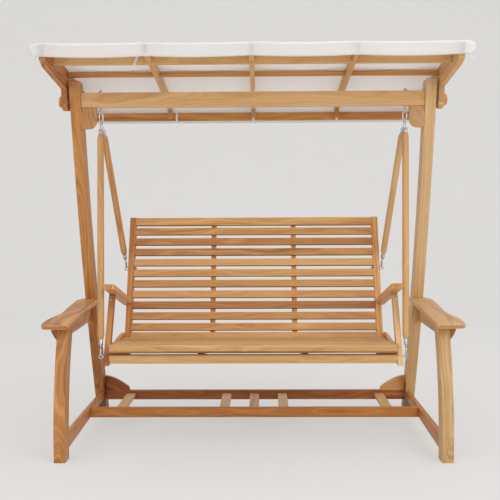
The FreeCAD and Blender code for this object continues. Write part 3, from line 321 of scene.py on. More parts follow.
    def bump(self, height: Socket, depth: float, strength: float) -> None:
        """Gives the shader a bump of a depth in metres.

        Args:
            height: what the bump reads.
            depth: height of a full step.
            strength: share of the bump that shows.
        """
        node = self.add("ShaderNodeBump")
        self.put(strength, node.inputs["Strength"])
        self.put(depth, node.inputs["Distance"])
        self.put(height, node.inputs["Height"])
        self.put(node.outputs[0], self.shader.inputs["Normal"])


def srgb(red: int, green: int, blue: int) -> Colour:
    """Linear colour of three 8-bit sRGB numbers."""
    shares = [value / 255.0 for value in (red, green, blue)]
    return tuple(s / 12.92 if s <= 0.04045 else ((s + 0.055) / 1.055) ** 2.4 for s in shares)


@dataclass(frozen=True)
class WoodFinish:
    """Sanded and oiled timber: uneven growth rings, fibres, pores, end grain, tints, and painted shade on
    undersides and in hollows.
    """

    name: str
    pale: Colour
    middle: Colour
    dark: Colour
    ruddy: Colour = (1.0, 0.80, 0.60)
    # Multiplier that pales and cools a piece: partly its tone, partly a painted sheen on the right-hand pieces
    pale_tone_and_sheen: Colour = (0.92, 1.20, 1.80)
    # Colour of the painted shade: on undersides, in the grooves between planks and at the posts' feet
    under: Colour = (0.10, 0.036, 0.010)
    stops: Place = (0.16, 0.50, 0.90)
    ring_width: float = 0.011
    wander: float = 0.09
    bend_scale: Place = (1.4, 7.0, 7.0)
    fibre_scale: Place = (5.0, 240.0, 240.0)
    cloud_scale: Place = (1.6, 12.0, 12.0)
    pit_scale: Place = (45.0, 1100.0, 1100.0)
    ring_share: float = 0.30
    fibre_share: float = 0.34
    cloud_share: float = 0.34
    tint_pull: float = 0.40
    pit_pull: float = 0.30
    end_pull: float = 0.45
    under_pull: float = 0.80
    worn_pull: float = 0.35
    roughness: tuple[float, float] = (0.36, 0.54)
    bump_depth: float = 0.00025

    def material(self) -> Material:
        """Builds the node material, which reads the attributes that give_grain and round_edges store.

        Returns:
            The material.
        """
        sheet = NodeSheet(self.name)
        grain = sheet.attribute("grain", "Vector")
        bend = sheet.noise(sheet.stretched(grain, self.bend_scale), 2.0)
        radius = sheet.length(sheet.stretched(grain, (0.0, 1.0, 1.0)))
        radius = sheet.math("MULTIPLY_ADD", bend, self.wander, radius)
        rings = sheet.ranged(sheet.line_noise(radius, 1.0 / self.ring_width, 3.0), (0.28, 0.72))
        fibre = sheet.noise(sheet.stretched(grain, self.fibre_scale), 4.0, 0.62)
        cloud = sheet.noise(sheet.stretched(grain, self.cloud_scale), 3.0)
        pit = sheet.ranged(sheet.noise(sheet.stretched(grain, self.pit_scale), 1.0), (0.62, 0.74))
        shade = sheet.weighed((rings, self.ring_share), (fibre, self.fibre_share), (cloud, self.cloud_share),
                              (sheet.attribute("tint"), self.tint_pull))
        colour = sheet.ramp(shade, self.stops, (self.pale, self.middle, self.dark))
        for name, tone in (("ruddy", self.ruddy), ("pale_tone_and_sheen", self.pale_tone_and_sheen)):
            colour = sheet.mix(sheet.attribute(name), colour, tone, "MULTIPLY")
        colour = sheet.mix(sheet.math("MULTIPLY", pit, self.pit_pull), colour, self.dark, "MULTIPLY")
        for name, pull, tone in (("end_grain", self.end_pull, self.dark),
                                 ("under", self.under_pull, self.under)):
            colour = sheet.mix(sheet.math("MULTIPLY", sheet.attribute(name), pull), colour, tone)
        patches = sheet.ranged(cloud, (0.45, 0.65), (0.0, self.worn_pull))
        colour = sheet.mix(sheet.math("MULTIPLY", sheet.attribute("eased"), patches), colour, self.pale)
        sheet.surface(Base_Color=colour, Roughness=sheet.ranged(fibre, (0.25, 0.75), self.roughness),
                      Specular_IOR_Level=0.5)
        sheet.bump(sheet.weighed((fibre, 1.0), (pit, -0.8)), self.bump_depth, 0.5)
        return sheet.material


@dataclass(frozen=True)
class SteelFinish:
    """Bright plated steel with faint smears and fine scratches."""

    name: str
    colour: Colour
    worn: Colour
    roughness: tuple[float, float]
    smear_scale: Place = (90.0, 90.0, 90.0)
    scratch_scale: Place = (900.0, 900.0, 120.0)
    bump_depth: float = 0.00004

    def material(self) -> Material:
        """Builds the node material on Object coordinates.

        Returns:
            The material.
        """
        sheet = NodeSheet(self.name)
        place = sheet.add("ShaderNodeTexCoord").outputs["Object"]
        smear = sheet.noise(sheet.stretched(place, self.smear_scale), 3.0)
        scratch = sheet.noise(sheet.stretched(place, self.scratch_scale), 2.0)
        sheet.surface(Base_Color=sheet.mix(sheet.ranged(smear, (0.5, 0.75)), self.colour, self.worn),
                      Roughness=sheet.ranged(smear, (0.3, 0.7), self.roughness), Metallic=1.0)
        sheet.bump(scratch, self.bump_depth, 0.4)
        return sheet.material


@dataclass(frozen=True)
class ClothFinish:
    """Plain woven canvas with stitched hems, laid out on the cover's own UV map in metres."""

    name: str
    colour: Colour
    shaded: Colour
    cut: tuple[float, float]
    thread: float = 0.0011
    hem: float = 0.022
    stitch: float = 0.007
    stitch_width: float = 0.0011
    stitch_share: float = 0.68
    seam_inset: float = 0.004
    slub_scale: Place = (14.0, 420.0, 1.0)
    cloud_scale: Place = (5.0, 5.0, 1.0)
    glow: float = 0.9
    depth: float = 0.010
    bump_depth: float = 0.0004

    def edge_distance(self, sheet: NodeSheet, part: Socket, span: float) -> Socket:
        """Distance from the nearer of two opposite edges of the cut, centred on the UV map's zero."""
        return sheet.math("SUBTRACT", 0.5 * span, sheet.math("ABSOLUTE", part))

    def seam(self, sheet: NodeSheet, edge: Socket, along: Socket) -> Socket:
        """A row of stitches beside the fold of a hem.

        Args:
            sheet: the material's nodes.
            edge: distance from the cut's edge.
            along: place along that edge.

        Returns:
            A socket that is 1 on a stitch.
        """
        off = sheet.math("ABSOLUTE", sheet.math("SUBTRACT", edge, self.hem - self.seam_inset))
        near = sheet.math("LESS_THAN", off, 0.5 * self.stitch_width)
        dash = sheet.math("FRACT", sheet.math("DIVIDE", along, self.stitch))
        return sheet.math("MULTIPLY", near, sheet.math("LESS_THAN", dash, self.stitch_share))

    def material(self) -> Material:
        """Builds the node material.

        Returns:
            The material.
        """
        sheet = NodeSheet(self.name)
        place = sheet.add("ShaderNodeUVMap", uv_map="weave").outputs["UV"]
        parts = sheet.add("ShaderNodeSeparateXYZ")
        sheet.put(place, parts.inputs[0])
        across, along = parts.outputs["X"], parts.outputs["Y"]
        threads = []
        for direction in ("X", "Y"):
            wave = sheet.add("ShaderNodeTexWave", wave_type="BANDS", bands_direction=direction)
            sheet.put(BAND_PERIOD / self.thread, wave.inputs["Scale"])
            sheet.put(0.4, wave.inputs["Distortion"])
            sheet.put(place, wave.inputs["Vector"])
            threads.append(wave.outputs["Fac"])
        weave = sheet.math("MAXIMUM", *threads)
        slub = sheet.noise(sheet.stretched(place, self.slub_scale), 2.0)
        cloud = sheet.noise(sheet.stretched(place, self.cloud_scale), 3.0)
        side = self.edge_distance(sheet, across, self.cut[0])
        end = self.edge_distance(sheet, along, self.cut[1])
        fold = sheet.math("LESS_THAN", sheet.math("MINIMUM", side, end), self.hem)
        seam = sheet.math("MAXIMUM", self.seam(sheet, side, along), self.seam(sheet, end, across))
        tone = sheet.weighed((cloud, 0.7), (slub, 0.3), (seam, -0.25))
        sheet.surface(Base_Color=sheet.ramp(tone, (0.3, 0.7), (self.shaded, self.colour)),
                      Roughness=sheet.ranged(slub, (0.3, 0.7), (0.78, 0.92)), Sheen_Weight=0.08,
                      Specular_IOR_Level=0.2, Subsurface_Weight=self.glow, Subsurface_Scale=self.depth,
                      Subsurface_Radius=(1.0, 1.0, 1.0))
        height = sheet.weighed((weave, 0.5), (slub, 0.3), (fold, 1.2), (seam, 0.9))
        sheet.bump(height, self.bump_depth, 0.6)
        return sheet.material


TEAK = WoodFinish("oiled_teak", srgb(233, 188, 129), srgb(209, 151, 84), srgb(139, 77, 26))
BAR_WOOD = WoodFinish("turned_bar_wood", srgb(223, 184, 130), srgb(207, 160, 103), srgb(165, 113, 62),
                      ring_width=0.007)
STEEL = SteelFinish("plated_steel", (0.66, 0.66, 0.65), (0.42, 0.42, 0.42), (0.16, 0.34))
COVER_CUT = (2.02, 1.180)
CANVAS = ClothFinish("white_canvas", srgb(235, 235, 233), srgb(228, 228, 225), COVER_CUT)
# The cover's inner face is whiter than its outer face: painted light on its shaded underside
PAINTED_LIGHT_INSIDE = ClothFinish("canvas_inside_painted_light", srgb(250, 252, 254), srgb(246, 248, 250), COVER_CUT)
# The tape is whiter than the canvas, partly as painted light on ties in shade
TAPE = ClothFinish("white_tape", srgb(247, 247, 245), srgb(240, 240, 238), COVER_CUT, glow=0.0)


class Palette:
    """Materials of the object, each built once."""

    def __init__(self) -> None:
        """Builds every material."""
        self.by_slot = {Slot.TEAK: TEAK.material(), Slot.BAR_WOOD: BAR_WOOD.material(),
                        Slot.STEEL: STEEL.material(), Slot.CLOTH: CANVAS.material()}
        self.inside = PAINTED_LIGHT_INSIDE.material()
        self.tape = TAPE.material()

    def of(self, slot: Slot) -> Material:
        """Material of a slot."""
        return self.by_slot[slot]


# Mesh helpers

def merged_copy(node: str) -> Mesh:
    """Copies a CAD node's mesh with its loose triangles joined into faces.

    Args:
        node: name of the node.

    Returns:
        A new bmesh in the model's frame.
    """
    bm = bmesh.new()
    bm.from_mesh(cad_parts[node].data)
    bmesh.ops.remove_doubles(bm, verts=bm.verts, dist=MERGE_DISTANCE)
    bmesh.ops.dissolve_limit(bm, angle_limit=FLAT_ANGLE, verts=bm.verts, edges=bm.edges, delimit={"NORMAL"})
    return bm


def islands(bm: Mesh) -> list[list[Vert]]:
    """Groups the vertices of a bmesh into separate solids.

    Args:
        bm: the mesh.

    Returns:
        One list of vertices per solid.
    """
    seen: set[Vert] = set()
    groups = []
    for first in bm.verts:
        if first in seen:
            continue
        seen.add(first)
        group = [first]
        for vert in group:
            for edge in vert.link_edges:
                other = edge.other_vert(vert)
                if other not in seen:
                    seen.add(other)
                    group.append(other)
        groups.append(group)
    return groups


def solid_boxes(node: str) -> list[tuple[Vector, Vector]]:
    """Boxes of a CAD node's separate solids.

    Args:
        node: name of the node.

    Returns:
        The lowest and highest corner of each solid.
    """
    bm = merged_copy(node)
    boxes = []
    for group in islands(bm):
        places = np.array([vert.co for vert in group])
        boxes.append((Vector(places.min(axis=0)), Vector(places.max(axis=0))))
    bm.free()
    return boxes


def turned(profile: list[tuple[float, float]], steps: int = 32) -> Mesh:
    """Spins a profile about Z into a closed solid.

    Args:
        profile: radius and height of its points, from axis to axis.
        steps: sides of the solid.

    Returns:
        A new bmesh.
    """
    bm = bmesh.new()
    verts = [bm.verts.new((radius, 0.0, height)) for radius, height in profile]
    edges = [bm.edges.new(pair) for pair in zip(verts, verts[1:])]
    bmesh.ops.spin(bm, geom=verts + edges, cent=(0.0, 0.0, 0.0), axis=(0.0, 0.0, 1.0), angle=math.tau,
                   steps=steps, use_merge=True)
    bmesh.ops.remove_doubles(bm, verts=bm.verts, dist=MERGE_DISTANCE)
    bmesh.ops.recalc_face_normals(bm, faces=bm.faces)
    return bm


def stood(bm: Mesh, base: Vector, axis: Vector) -> Mesh:
    """Stands a bmesh on a base with its Z along an axis.

    Args:
        bm: the mesh.
        base: where its zero goes.
        axis: where its Z points.

    Returns:
        The same mesh.
    """
    turn = axis.to_track_quat("Z", "Y").to_matrix().to_4x4()
    bmesh.ops.transform(bm, matrix=Matrix.Translation(base) @ turn, verts=bm.verts)
    return bm


def gathered(parts: list[Mesh]) -> Mesh:
    """Puts several bmeshes into one.

    Args:
        parts: the bmeshes, freed here.

    Returns:
        A new bmesh.
    """
    whole = bmesh.new()
    for part in parts:
        mesh = bpy.data.meshes.new("part")
        part.to_mesh(mesh)
        part.free()
        whole.from_mesh(mesh)
        bpy.data.meshes.remove(mesh)
    return whole


def held(share: float) -> float:
    """A share held between nought and 1."""
    return min(max(share, 0.0), 1.0)


def humped(share: float | np.ndarray) -> float | np.ndarray:
    """Rises from nought to 1 midway and falls back."""
    return 4.0 * share * (1.0 - share)


def planks(bm: Mesh) -> list[list[Vert]]:
    """Vertices of each plank of a mesh, counted from the top or the front."""
    return sorted(islands(bm), key=lambda group: max(vert.co.z - vert.co.y for vert in group), reverse=True)


def plank_axes(verts: list[Vert]) -> Matrix:
    """Length, width and thickness directions of a plank, from the run of its edges.

    Args:
        verts: vertices of the plank.

    Returns:
        A matrix whose rows are the three directions.
    """
    run = np.zeros((3, 3))
    edges = {edge for vert in verts for edge in vert.link_edges}
    for edge in sorted(edges, key=lambda item: item.index):
        step = np.array(edge.verts[1].co - edge.verts[0].co)
        run += np.outer(step, step) / max(np.linalg.norm(step), MERGE_DISTANCE)
    vectors = np.linalg.eigh(run)[1]
    return Matrix([Vector(vectors[:, index]) for index in (2, 1, 0)])


def give_grain(bm: Mesh, name: str, tints: dict[int, float] | None = None,
               cast: Cast = NO_CAST, foot: float = 0.0, under_share: float = 0.0) -> None:
    """Stores a grain coordinate, tints, end grain and the painted shade of undersides on every plank of a
    mesh.

    Args:
        bm: the mesh.
        name: name of the piece, which seeds its planks.
        tints: tint of single planks, counted from the top or the front; the rest are drawn.
        cast: added to every plank's tint, darker above nought, and to its warmth, paler and cooler below
            nought; partly tone, partly painted light and shade.
        foot: painted shade added below the height of the arms.
        under_share: how dark the painted shade on the undersides is.
    """
    grain = bm.verts.layers.float_vector.new("grain")
    tint, ruddy, pale_tone_and_sheen = (bm.verts.layers.float.new(layer) for layer in ("tint", "ruddy", "pale_tone_and_sheen"))
    end, under = (bm.faces.layers.float.new(layer) for layer in ("end_grain", "under"))
    bm.edges.index_update()
    bm.normal_update()
    for index, group in enumerate(planks(bm)):
        draw = random.Random(f"{name} {index}")
        axes = plank_axes(group)
        middle = sum((vert.co for vert in group), Vector()) / len(group)
        pith = Vector([draw.uniform(*reach) for reach in PITH_REACH])
        shade = draw.uniform(*TINT_REACH)
        if tints is not None:
            shade = tints.get(index, shade)
        warmth = draw.uniform(*WARMTH_REACH) + WARMTH_OF_TINT * shade + cast[1]
        for vert in group:
            vert[grain] = axes @ (vert.co - middle) + pith
            # A rear post darkens towards its foot: painted shade
            depth = (FOOT_FADE[1] - vert.co.z) / (FOOT_FADE[1] - FOOT_FADE[0])
            vert[tint] = shade + cast[0] + foot * held(depth)
            vert[ruddy] = held(warmth)
            # Paler and cooler below nought: partly tone, partly painted sheen
            vert[pale_tone_and_sheen] = max(0.0, -cast[1])
        for face in {face for vert in group for face in vert.link_faces}:
            face[end] = 1.0 if abs(face.normal.dot(axes[0])) > END_GRAIN_COSINE else 0.0
            # Painted shade on faces that turn down
            face[under] = under_share * held(-UNDER_SLOPE * face.normal.z)


def add_piece(name: str, bm: Mesh, body: Body, slot: Slot, palette: Palette,
              replaces: tuple[str, ...] = ()) -> Piece:
    """Makes an object of a bmesh, rides it on a body and gives it its material.

    Args:
        name: name of the piece.
        bm: its mesh, freed here.
        body: body that it moves with.
        slot: material slot.
        palette: the materials.
        replaces: CAD nodes that it stands for.

    Returns:
        The new object.
    """
    mesh = bpy.data.meshes.new(name)
    bm.to_mesh(mesh)
    bm.free()
    mesh.polygons.foreach_set("use_smooth", [True] * len(mesh.polygons))
    mesh.materials.append(palette.of(slot))
    piece = bpy.data.objects.new(name, mesh)
    bpy.context.scene.collection.objects.link(piece)
    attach(piece, body.value)
    if replaces:
        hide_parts(*replaces)
    LOG.info("%s on %s, %d faces", name, body.value, len(mesh.polygons))
    return piece


def sharp_edges(bm: Mesh) -> list[Edge]:
    """Edges of a mesh where its surface turns sharply."""
    return [edge for edge in bm.edges if edge.is_manifold and edge.calc_face_angle(0.0) > EDGE_ANGLE]


def keep_sharp(bm: Mesh) -> None:
    """Shades a mesh smooth between its sharp edges."""
    for edge in sharp_edges(bm):
        edge.smooth = False


def round_edges(bm: Mesh, edges: list[Edge], width: float, segments: int) -> None:
    """Bevels some edges and marks the new faces as eased.

    Args:
        bm: the mesh.
        edges: the edges.
        width: width of the rounding.
        segments: steps across it.
    """
    eased = bm.faces.layers.float.get("eased") or bm.faces.layers.float.new("eased")
    made = bmesh.ops.bevel(bm, geom=edges, offset=width, offset_type="OFFSET", segments=segments, profile=0.5,
                           affect="EDGES", material=-1, clamp_overlap=True)
    for face in made["faces"]:
        face[eased] = 1.0


def weigh_normals(piece: Piece) -> None:
    """Keeps broad faces flat beside their rounded edges.

    Args:
        piece: the piece.
    """
    modifier = piece.modifiers.new("flat_faces", "WEIGHTED_NORMAL")
    modifier.weight = FLAT_WEIGHT
    modifier.keep_sharp = True


def side_names(*stems: str) -> tuple[str, ...]:
    """Names of left and right nodes."""
    return tuple(f"{stem}_{side}" for stem in stems for side in SIDES)


@dataclass
class Timbers:
    """Wooden CAD nodes that share a body and the rounding of their edges."""

    body: Body
    nodes: tuple[str, ...]
    edge: float = 0.0025
    segments: int = EDGE_STEPS
    crown: float = 0.0
    nose: float = 0.0
    tints: dict[int, float] | None = None
    casts: dict[str, Cast] = field(default_factory=dict)
    # Painted shade: towards a rear post's foot, on undersides, in the grooves between planks and on a post's
    # inner foot
    painted_foot_shade: dict[str, float] = field(default_factory=dict)
    under_share: float = 0.0
    grooves: float = 0.0
    inside_shade: float = 0.0
    shift: Shift = (0.0, 0.0)

    def build(self, palette: Palette) -> None:
        """Copies each node, rounds its edges and gives it grain.

        Args:
            palette: the materials.
        """
        for node in self.nodes:
            bm = merged_copy(node)
            self.shape(bm)
            cast = self.casts.get(node, NO_CAST)
            give_grain(bm, node, self.tints, cast, self.painted_foot_shade.get(node, 0.0), self.under_share)
            if self.grooves:
                self.shade_grooves(bm)
            if self.inside_shade:
                self.shade_inside(bm)
            weigh_normals(add_piece(f"{node}_wood", bm, self.body, Slot.TEAK, palette, (node,)))

    def shape(self, bm: Mesh) -> None:
        """Shifts the first plank's lower and upper side, then rounds the top, the front and the other edges.

        Args:
            bm: the mesh.
        """
        if any(self.shift):
            first = planks(bm)[0]
            middle = sum(vert.co.z for vert in first) / len(first)
            for vert in first:
                vert.co.z += self.shift[0] if vert.co.z < middle else self.shift[1]
        if self.crown:
            top = max(vert.co.z for vert in bm.verts) - MERGE_DISTANCE
            rim = [edge for edge in sharp_edges(bm) if min(vert.co.z for vert in edge.verts) > top]
            round_edges(bm, rim, self.crown, ROUND_STEPS)
        if self.nose:
            bm.normal_update()
            face = min(bm.faces, key=lambda item: item.normal.y * item.calc_area())
            round_edges(bm, list(face.edges), self.nose, ROUND_STEPS)
        round_edges(bm, sharp_edges(bm), self.edge, self.segments)

    def shade_grooves(self, bm: Mesh) -> None:
        """Paints shade on the front edges of every plank behind the first one, in the grooves between the
        planks.

        Args:
            bm: the mesh, which has its grain.
        """
        under = bm.faces.layers.float.get("under")
        first = max(vert.co.y for vert in planks(bm)[0])
        for face in bm.faces:
            if face.normal.y < -GROOVE_FACING and face.calc_center_median().y > first:
                face[under] = self.grooves

    def shade_inside(self, bm: Mesh) -> None:
        """Paints shade on a post's foot beside the rails that meet it: on its inner side, and on its front
        further down.

        Args:
            bm: the mesh, which has its grain.
        """
        under = bm.faces.layers.float.get("under")
        for height in (INSIDE_HEIGHT, FOOT_HEIGHT):
            bmesh.ops.bisect_plane(bm, geom=bm.verts[:] + bm.edges[:] + bm.faces[:],
                                   plane_co=(0.0, 0.0, height), plane_no=(0.0, 0.0, 1.0))
        for face in bm.faces:
            middle = face.calc_center_median()
            inward = face.normal.x * middle.x < -FOOT_FACING * abs(middle.x)
            forward = face.normal.y < -FOOT_FACING
            if (inward and middle.z < INSIDE_HEIGHT) or (forward and middle.z < FOOT_HEIGHT):
                face[under] = self.inside_shade


@dataclass
class Hardware:
    """Steel CAD nodes, copied with smooth round faces."""

    body: Body
    nodes: tuple[str, ...]

    def build(self, palette: Palette) -> None:
        """Copies each node and shades it smooth between its edges.

        Args:
            palette: the materials.
        """
        for node in self.nodes:
            bm = merged_copy(node)
            keep_sharp(bm)
            add_piece(f"{node}_steel", bm, self.body, Slot.STEEL, palette, (node,))


@dataclass
class NutStack:
    """A washer, a chamfered hexagon nut and the thread that stands out of it."""

    across: float
    height: float
    washer_radius: float
    bolt_radius: float
    washer_thick: float = 0.002
    chamfer: float = 0.0009
    thread_pitch: float = 0.00125
    thread_depth: float = 0.0004
    thread_turns: int = 3

    def washer(self) -> Mesh:
        """Flat washer with eased rims.

        Returns:
            A new bmesh.
        """
        ease = 0.25 * self.washer_thick
        rim = self.washer_radius
        return turned([(0.0, 0.0), (rim - ease, 0.0), (rim, ease), (rim, self.washer_thick - ease),
                       (rim - ease, self.washer_thick), (0.0, self.washer_thick)])

    def nut(self) -> Mesh:
        """Hexagon nut on the washer.

        Returns:
            A new bmesh.
        """
        bm = bmesh.new()
        corner = self.across / math.sqrt(3.0)
        bmesh.ops.create_cone(bm, cap_ends=True, segments=6, radius1=corner, radius2=corner,
                              depth=self.height)
        rims = [edge for edge in bm.edges if abs(edge.verts[0].co.z - edge.verts[1].co.z) < MERGE_DISTANCE]
        bmesh.ops.bevel(bm, geom=rims, offset=self.chamfer, offset_type="OFFSET", segments=2, profile=0.5,
                        affect="EDGES", material=-1)
        bmesh.ops.translate(bm, verts=bm.verts, vec=(0.0, 0.0, self.washer_thick + 0.5 * self.height))
        return bm

    def thread(self) -> Mesh:
        """Ridges round the bolt's end above the nut.

        Returns:
            A new bmesh.
        """
        start = self.washer_thick + self.height - self.thread_pitch
        profile = [(0.0, start)]
        for turn in range(self.thread_turns + 1):
            low = start + turn * self.thread_pitch
            profile += [(self.bolt_radius, low),
                        (self.bolt_radius + self.thread_depth, low + 0.5 * self.thread_pitch)]
        top = start + (self.thread_turns + 1) * self.thread_pitch
        return turned(profile + [(self.bolt_radius, top), (0.0, top)], steps=24)

    def at(self, base: Vector, axis: Vector) -> list[Mesh]:
        """Parts of one stack that stands on a base along an axis.

        Args:
            base: middle of the face beneath the washer.
            axis: direction away from that face.

        Returns:
            New bmeshes.
        """
        parts = [self.washer(), self.nut(), self.thread()]
        for part in parts:
            keep_sharp(part)
            stood(part, base, axis)
        return parts


@dataclass
class HangerBar:
    """One turned wooden bar with its two steel ferrules and the gate of its snap hook."""

    node: str
    bar_radius: float = 0.0165
    ferrule_radius: float = 0.0105
    ferrule_length: float = 0.029
    shoulder: float = 0.022
    shoulder_steps: int = 6
    neck: float = 0.009
    hook_length: float = 0.042
    hook_half_width: float = 0.010
    hook_wire: float = 0.0025
    crimps: tuple[float, ...] = (0.0075, 0.0135)
    crimp_half: float = 0.0014
    crimp_depth: float = 0.0012
    barrel_radius: float = 0.0048
    barrel_length: float = 0.0060
    barrel_drop: float = 0.0015

    def __post_init__(self) -> None:
        """Reads the bar's two ends from its CAD solid."""
        bm = merged_copy(self.node)
        caps = sorted(bm.faces, key=lambda face: len(face.verts))[-2:]
        low, high = sorted((cap.calc_center_median().copy() for cap in caps), key=lambda place: place.z)
        bm.free()
        self.top: Vector = high
        self.bottom: Vector = low
        self.down: Vector = (low - high).normalized()

    def wood(self) -> Mesh:
        """Turned bar whose rounded shoulders run down to the ferrules.

        Returns:
            A new bmesh.
        """
        length = (self.top - self.bottom).length
        rise = self.bar_radius - self.ferrule_radius
        lower = []
        for step in range(self.shoulder_steps + 1):
            share = step / self.shoulder_steps
            radius = self.ferrule_radius + rise * math.sin(0.5 * math.pi * share)
            lower.append((radius, self.shoulder * share))
        upper = [(radius, length - height) for radius, height in reversed(lower)]
        bm = turned([(0.0, 0.0)] + lower + upper + [(0.0, length)])
        keep_sharp(bm)
        return stood(bm, self.bottom, -self.down)

    def ferrule(self, base: Vector, axis: Vector) -> Mesh:
        """Cap with a rolled mouth, two crimped grooves and a rounded end.

        Args:
            base: centre of its mouth, at the wood.
            axis: direction away from the wood.

        Returns:
            A new bmesh.
        """
        outer = self.ferrule_radius
        wall = outer - 0.0003
        full = self.ferrule_length
        profile = [(0.0, 0.0), (outer - 0.0004, 0.0), (outer + 0.0003, 0.0007), (outer + 0.0003, 0.0018),
                   (wall, 0.0026)]
        for crimp in self.crimps:
            profile += [(wall, crimp - self.crimp_half), (outer - self.crimp_depth, crimp),
                        (wall, crimp + self.crimp_half)]
        profile += [(wall, full - 0.004), (outer - 0.0012, full - 0.0015), (outer - 0.0035, full),
                    (0.0, full)]
        bm = turned(profile)
        keep_sharp(bm)
        return stood(bm, base, axis)

    def gate(self) -> list[Mesh]:
        """Swivel barrel on the hook's stem, and the sleeve and nut of its gate.

        Returns:
            New bmeshes.
        """
        normal = (Vector((1.0, 0.0, 0.0)) - self.down * self.down.x).normalized()
        across = normal.cross(self.down)
        foot = self.bottom + self.down * self.ferrule_length
        rim, tall = self.barrel_radius, self.barrel_length
        barrel = [(0.0, 0.0), (rim - 0.0008, 0.0), (rim, 0.0010), (rim, tall - 0.0015), (rim - 0.0012, tall),
                  (0.0, tall)]
        wire = self.hook_wire
        run = self.hook_length - 2.0 * self.hook_half_width
        sleeve = [(0.0, 0.0), (wire + 0.0006, 0.0), (wire + 0.0010, 0.0008), (wire + 0.0010, 0.4 * run),
                  (wire + 0.0004, 0.4 * run + 0.0006), (wire + 0.0004, run - 0.0012), (wire, run), (0.0, run)]
        start = foot + self.down * (self.neck + self.hook_half_width) + across * self.hook_half_width
        parts = [stood(turned(barrel, steps=20), foot + self.down * self.barrel_drop, self.down),
                 stood(turned(sleeve, steps=16), start, self.down)]
        for part in parts:
            keep_sharp(part)
        return parts

    def ferrules(self) -> list[Mesh]:
        """Both caps of the bar."""
        return [self.ferrule(self.top, -self.down), self.ferrule(self.bottom, self.down)]


# Sub-assemblies

@dataclass
class StandingFrame:
    """Side frames, base and top beam."""

    body: Body = Body.FRAME
    leg_edge: float = 0.004
    arm_edge: float = 0.006
    rail_edge: float = 0.003
    post_crown: float = 0.007
    nuts: NutStack = field(default_factory=lambda: NutStack(
        across=0.017, height=0.008, washer_radius=0.011, bolt_radius=0.005))
    # Casts, partly each piece's tone and partly painted light and shade: darker on the low, rear and under-arm
    # pieces that lie in shade, paler on the right-hand pieces and on the top beam
    casts: dict[str, Cast] = field(default_factory=lambda: {
        "front_leg_left": (0.45, 0.15), "rear_post_left": (0.22, 0.40), "front_leg_right": (0.10, -0.8),
        "rear_post_right": (-0.30, -0.6), "side_rail_left": (0.28, 0.75), "side_rail_right": (0.28, 0.95),
        "front_cross_rail": (0.20, 0.85), "rear_cross_rail": (0.65, 0.95), "top_beam": (-0.60, -0.08),
        "rear_gusset_left": (0.85, 0.70), "rear_gusset_right": (-0.45, 0.20), "base_boards": (-0.80, -0.1),
        "beam_block_left": (-0.45, 0.10), "beam_block_right": (-0.60, -0.2),
        "frame_arm_left": (0.22, 0.0), "frame_arm_right": (-0.18, -0.5),
        "arm_corbel_left": (0.60, 0.60), "arm_corbel_right": (0.35, 0.40)})
    # Painted shade towards each rear post's foot, below the arms
    painted_foot_shade: dict[str, float] = field(default_factory=lambda: {
        "rear_post_left": 0.40, "rear_post_right": 0.15})
    # Painted shade on the inner side and front of each rear post's foot
    post_shade: float = 0.9

    def build(self, palette: Palette) -> None:
        """Dresses the frame's timbers and hardware.

        Args:
            palette: the materials.
        """
        rails = side_names("side_rail", "arm_apron", "arm_corbel", "rear_gusset", "beam_block")
        groups = (
            (side_names("front_leg"), self.leg_edge, SOFT_STEPS),
            (side_names("frame_arm"), self.arm_edge, SOFT_STEPS),
            (rails, self.rail_edge, EDGE_STEPS),
            (("front_cross_rail", "rear_cross_rail", "top_beam"), self.rail_edge, EDGE_STEPS),
        )
        for nodes, edge, segments in groups:
            Timbers(self.body, nodes, edge, segments, tints=PLAIN, casts=self.casts).build(palette)
        Timbers(self.body, side_names("rear_post"), self.leg_edge, SOFT_STEPS, self.post_crown,
                tints=PLAIN, casts=self.casts, painted_foot_shade=self.painted_foot_shade, inside_shade=self.post_shade).build(palette)
        Timbers(self.body, ("base_boards",), self.rail_edge, casts=self.casts).build(palette)
        Hardware(self.body, ("hanger_eye_bolts", "canopy_pivot_studs")).build(palette)
        self.add_nuts(palette)

    def add_nuts(self, palette: Palette) -> None:
        """Adds the nuts on top of the beam.

        Args:
            palette: the materials.
        """
        parts = []
        for low, high in solid_boxes("eye_bolt_nuts"):
            middle = 0.5 * (low + high)
            parts += self.nuts.at(Vector((middle.x, middle.y, low.z)), Vector((0.0, 0.0, 1.0)))
        add_piece("eye_bolt_nuts_steel", gathered(parts), self.body, Slot.STEEL, palette, ("eye_bolt_nuts",))


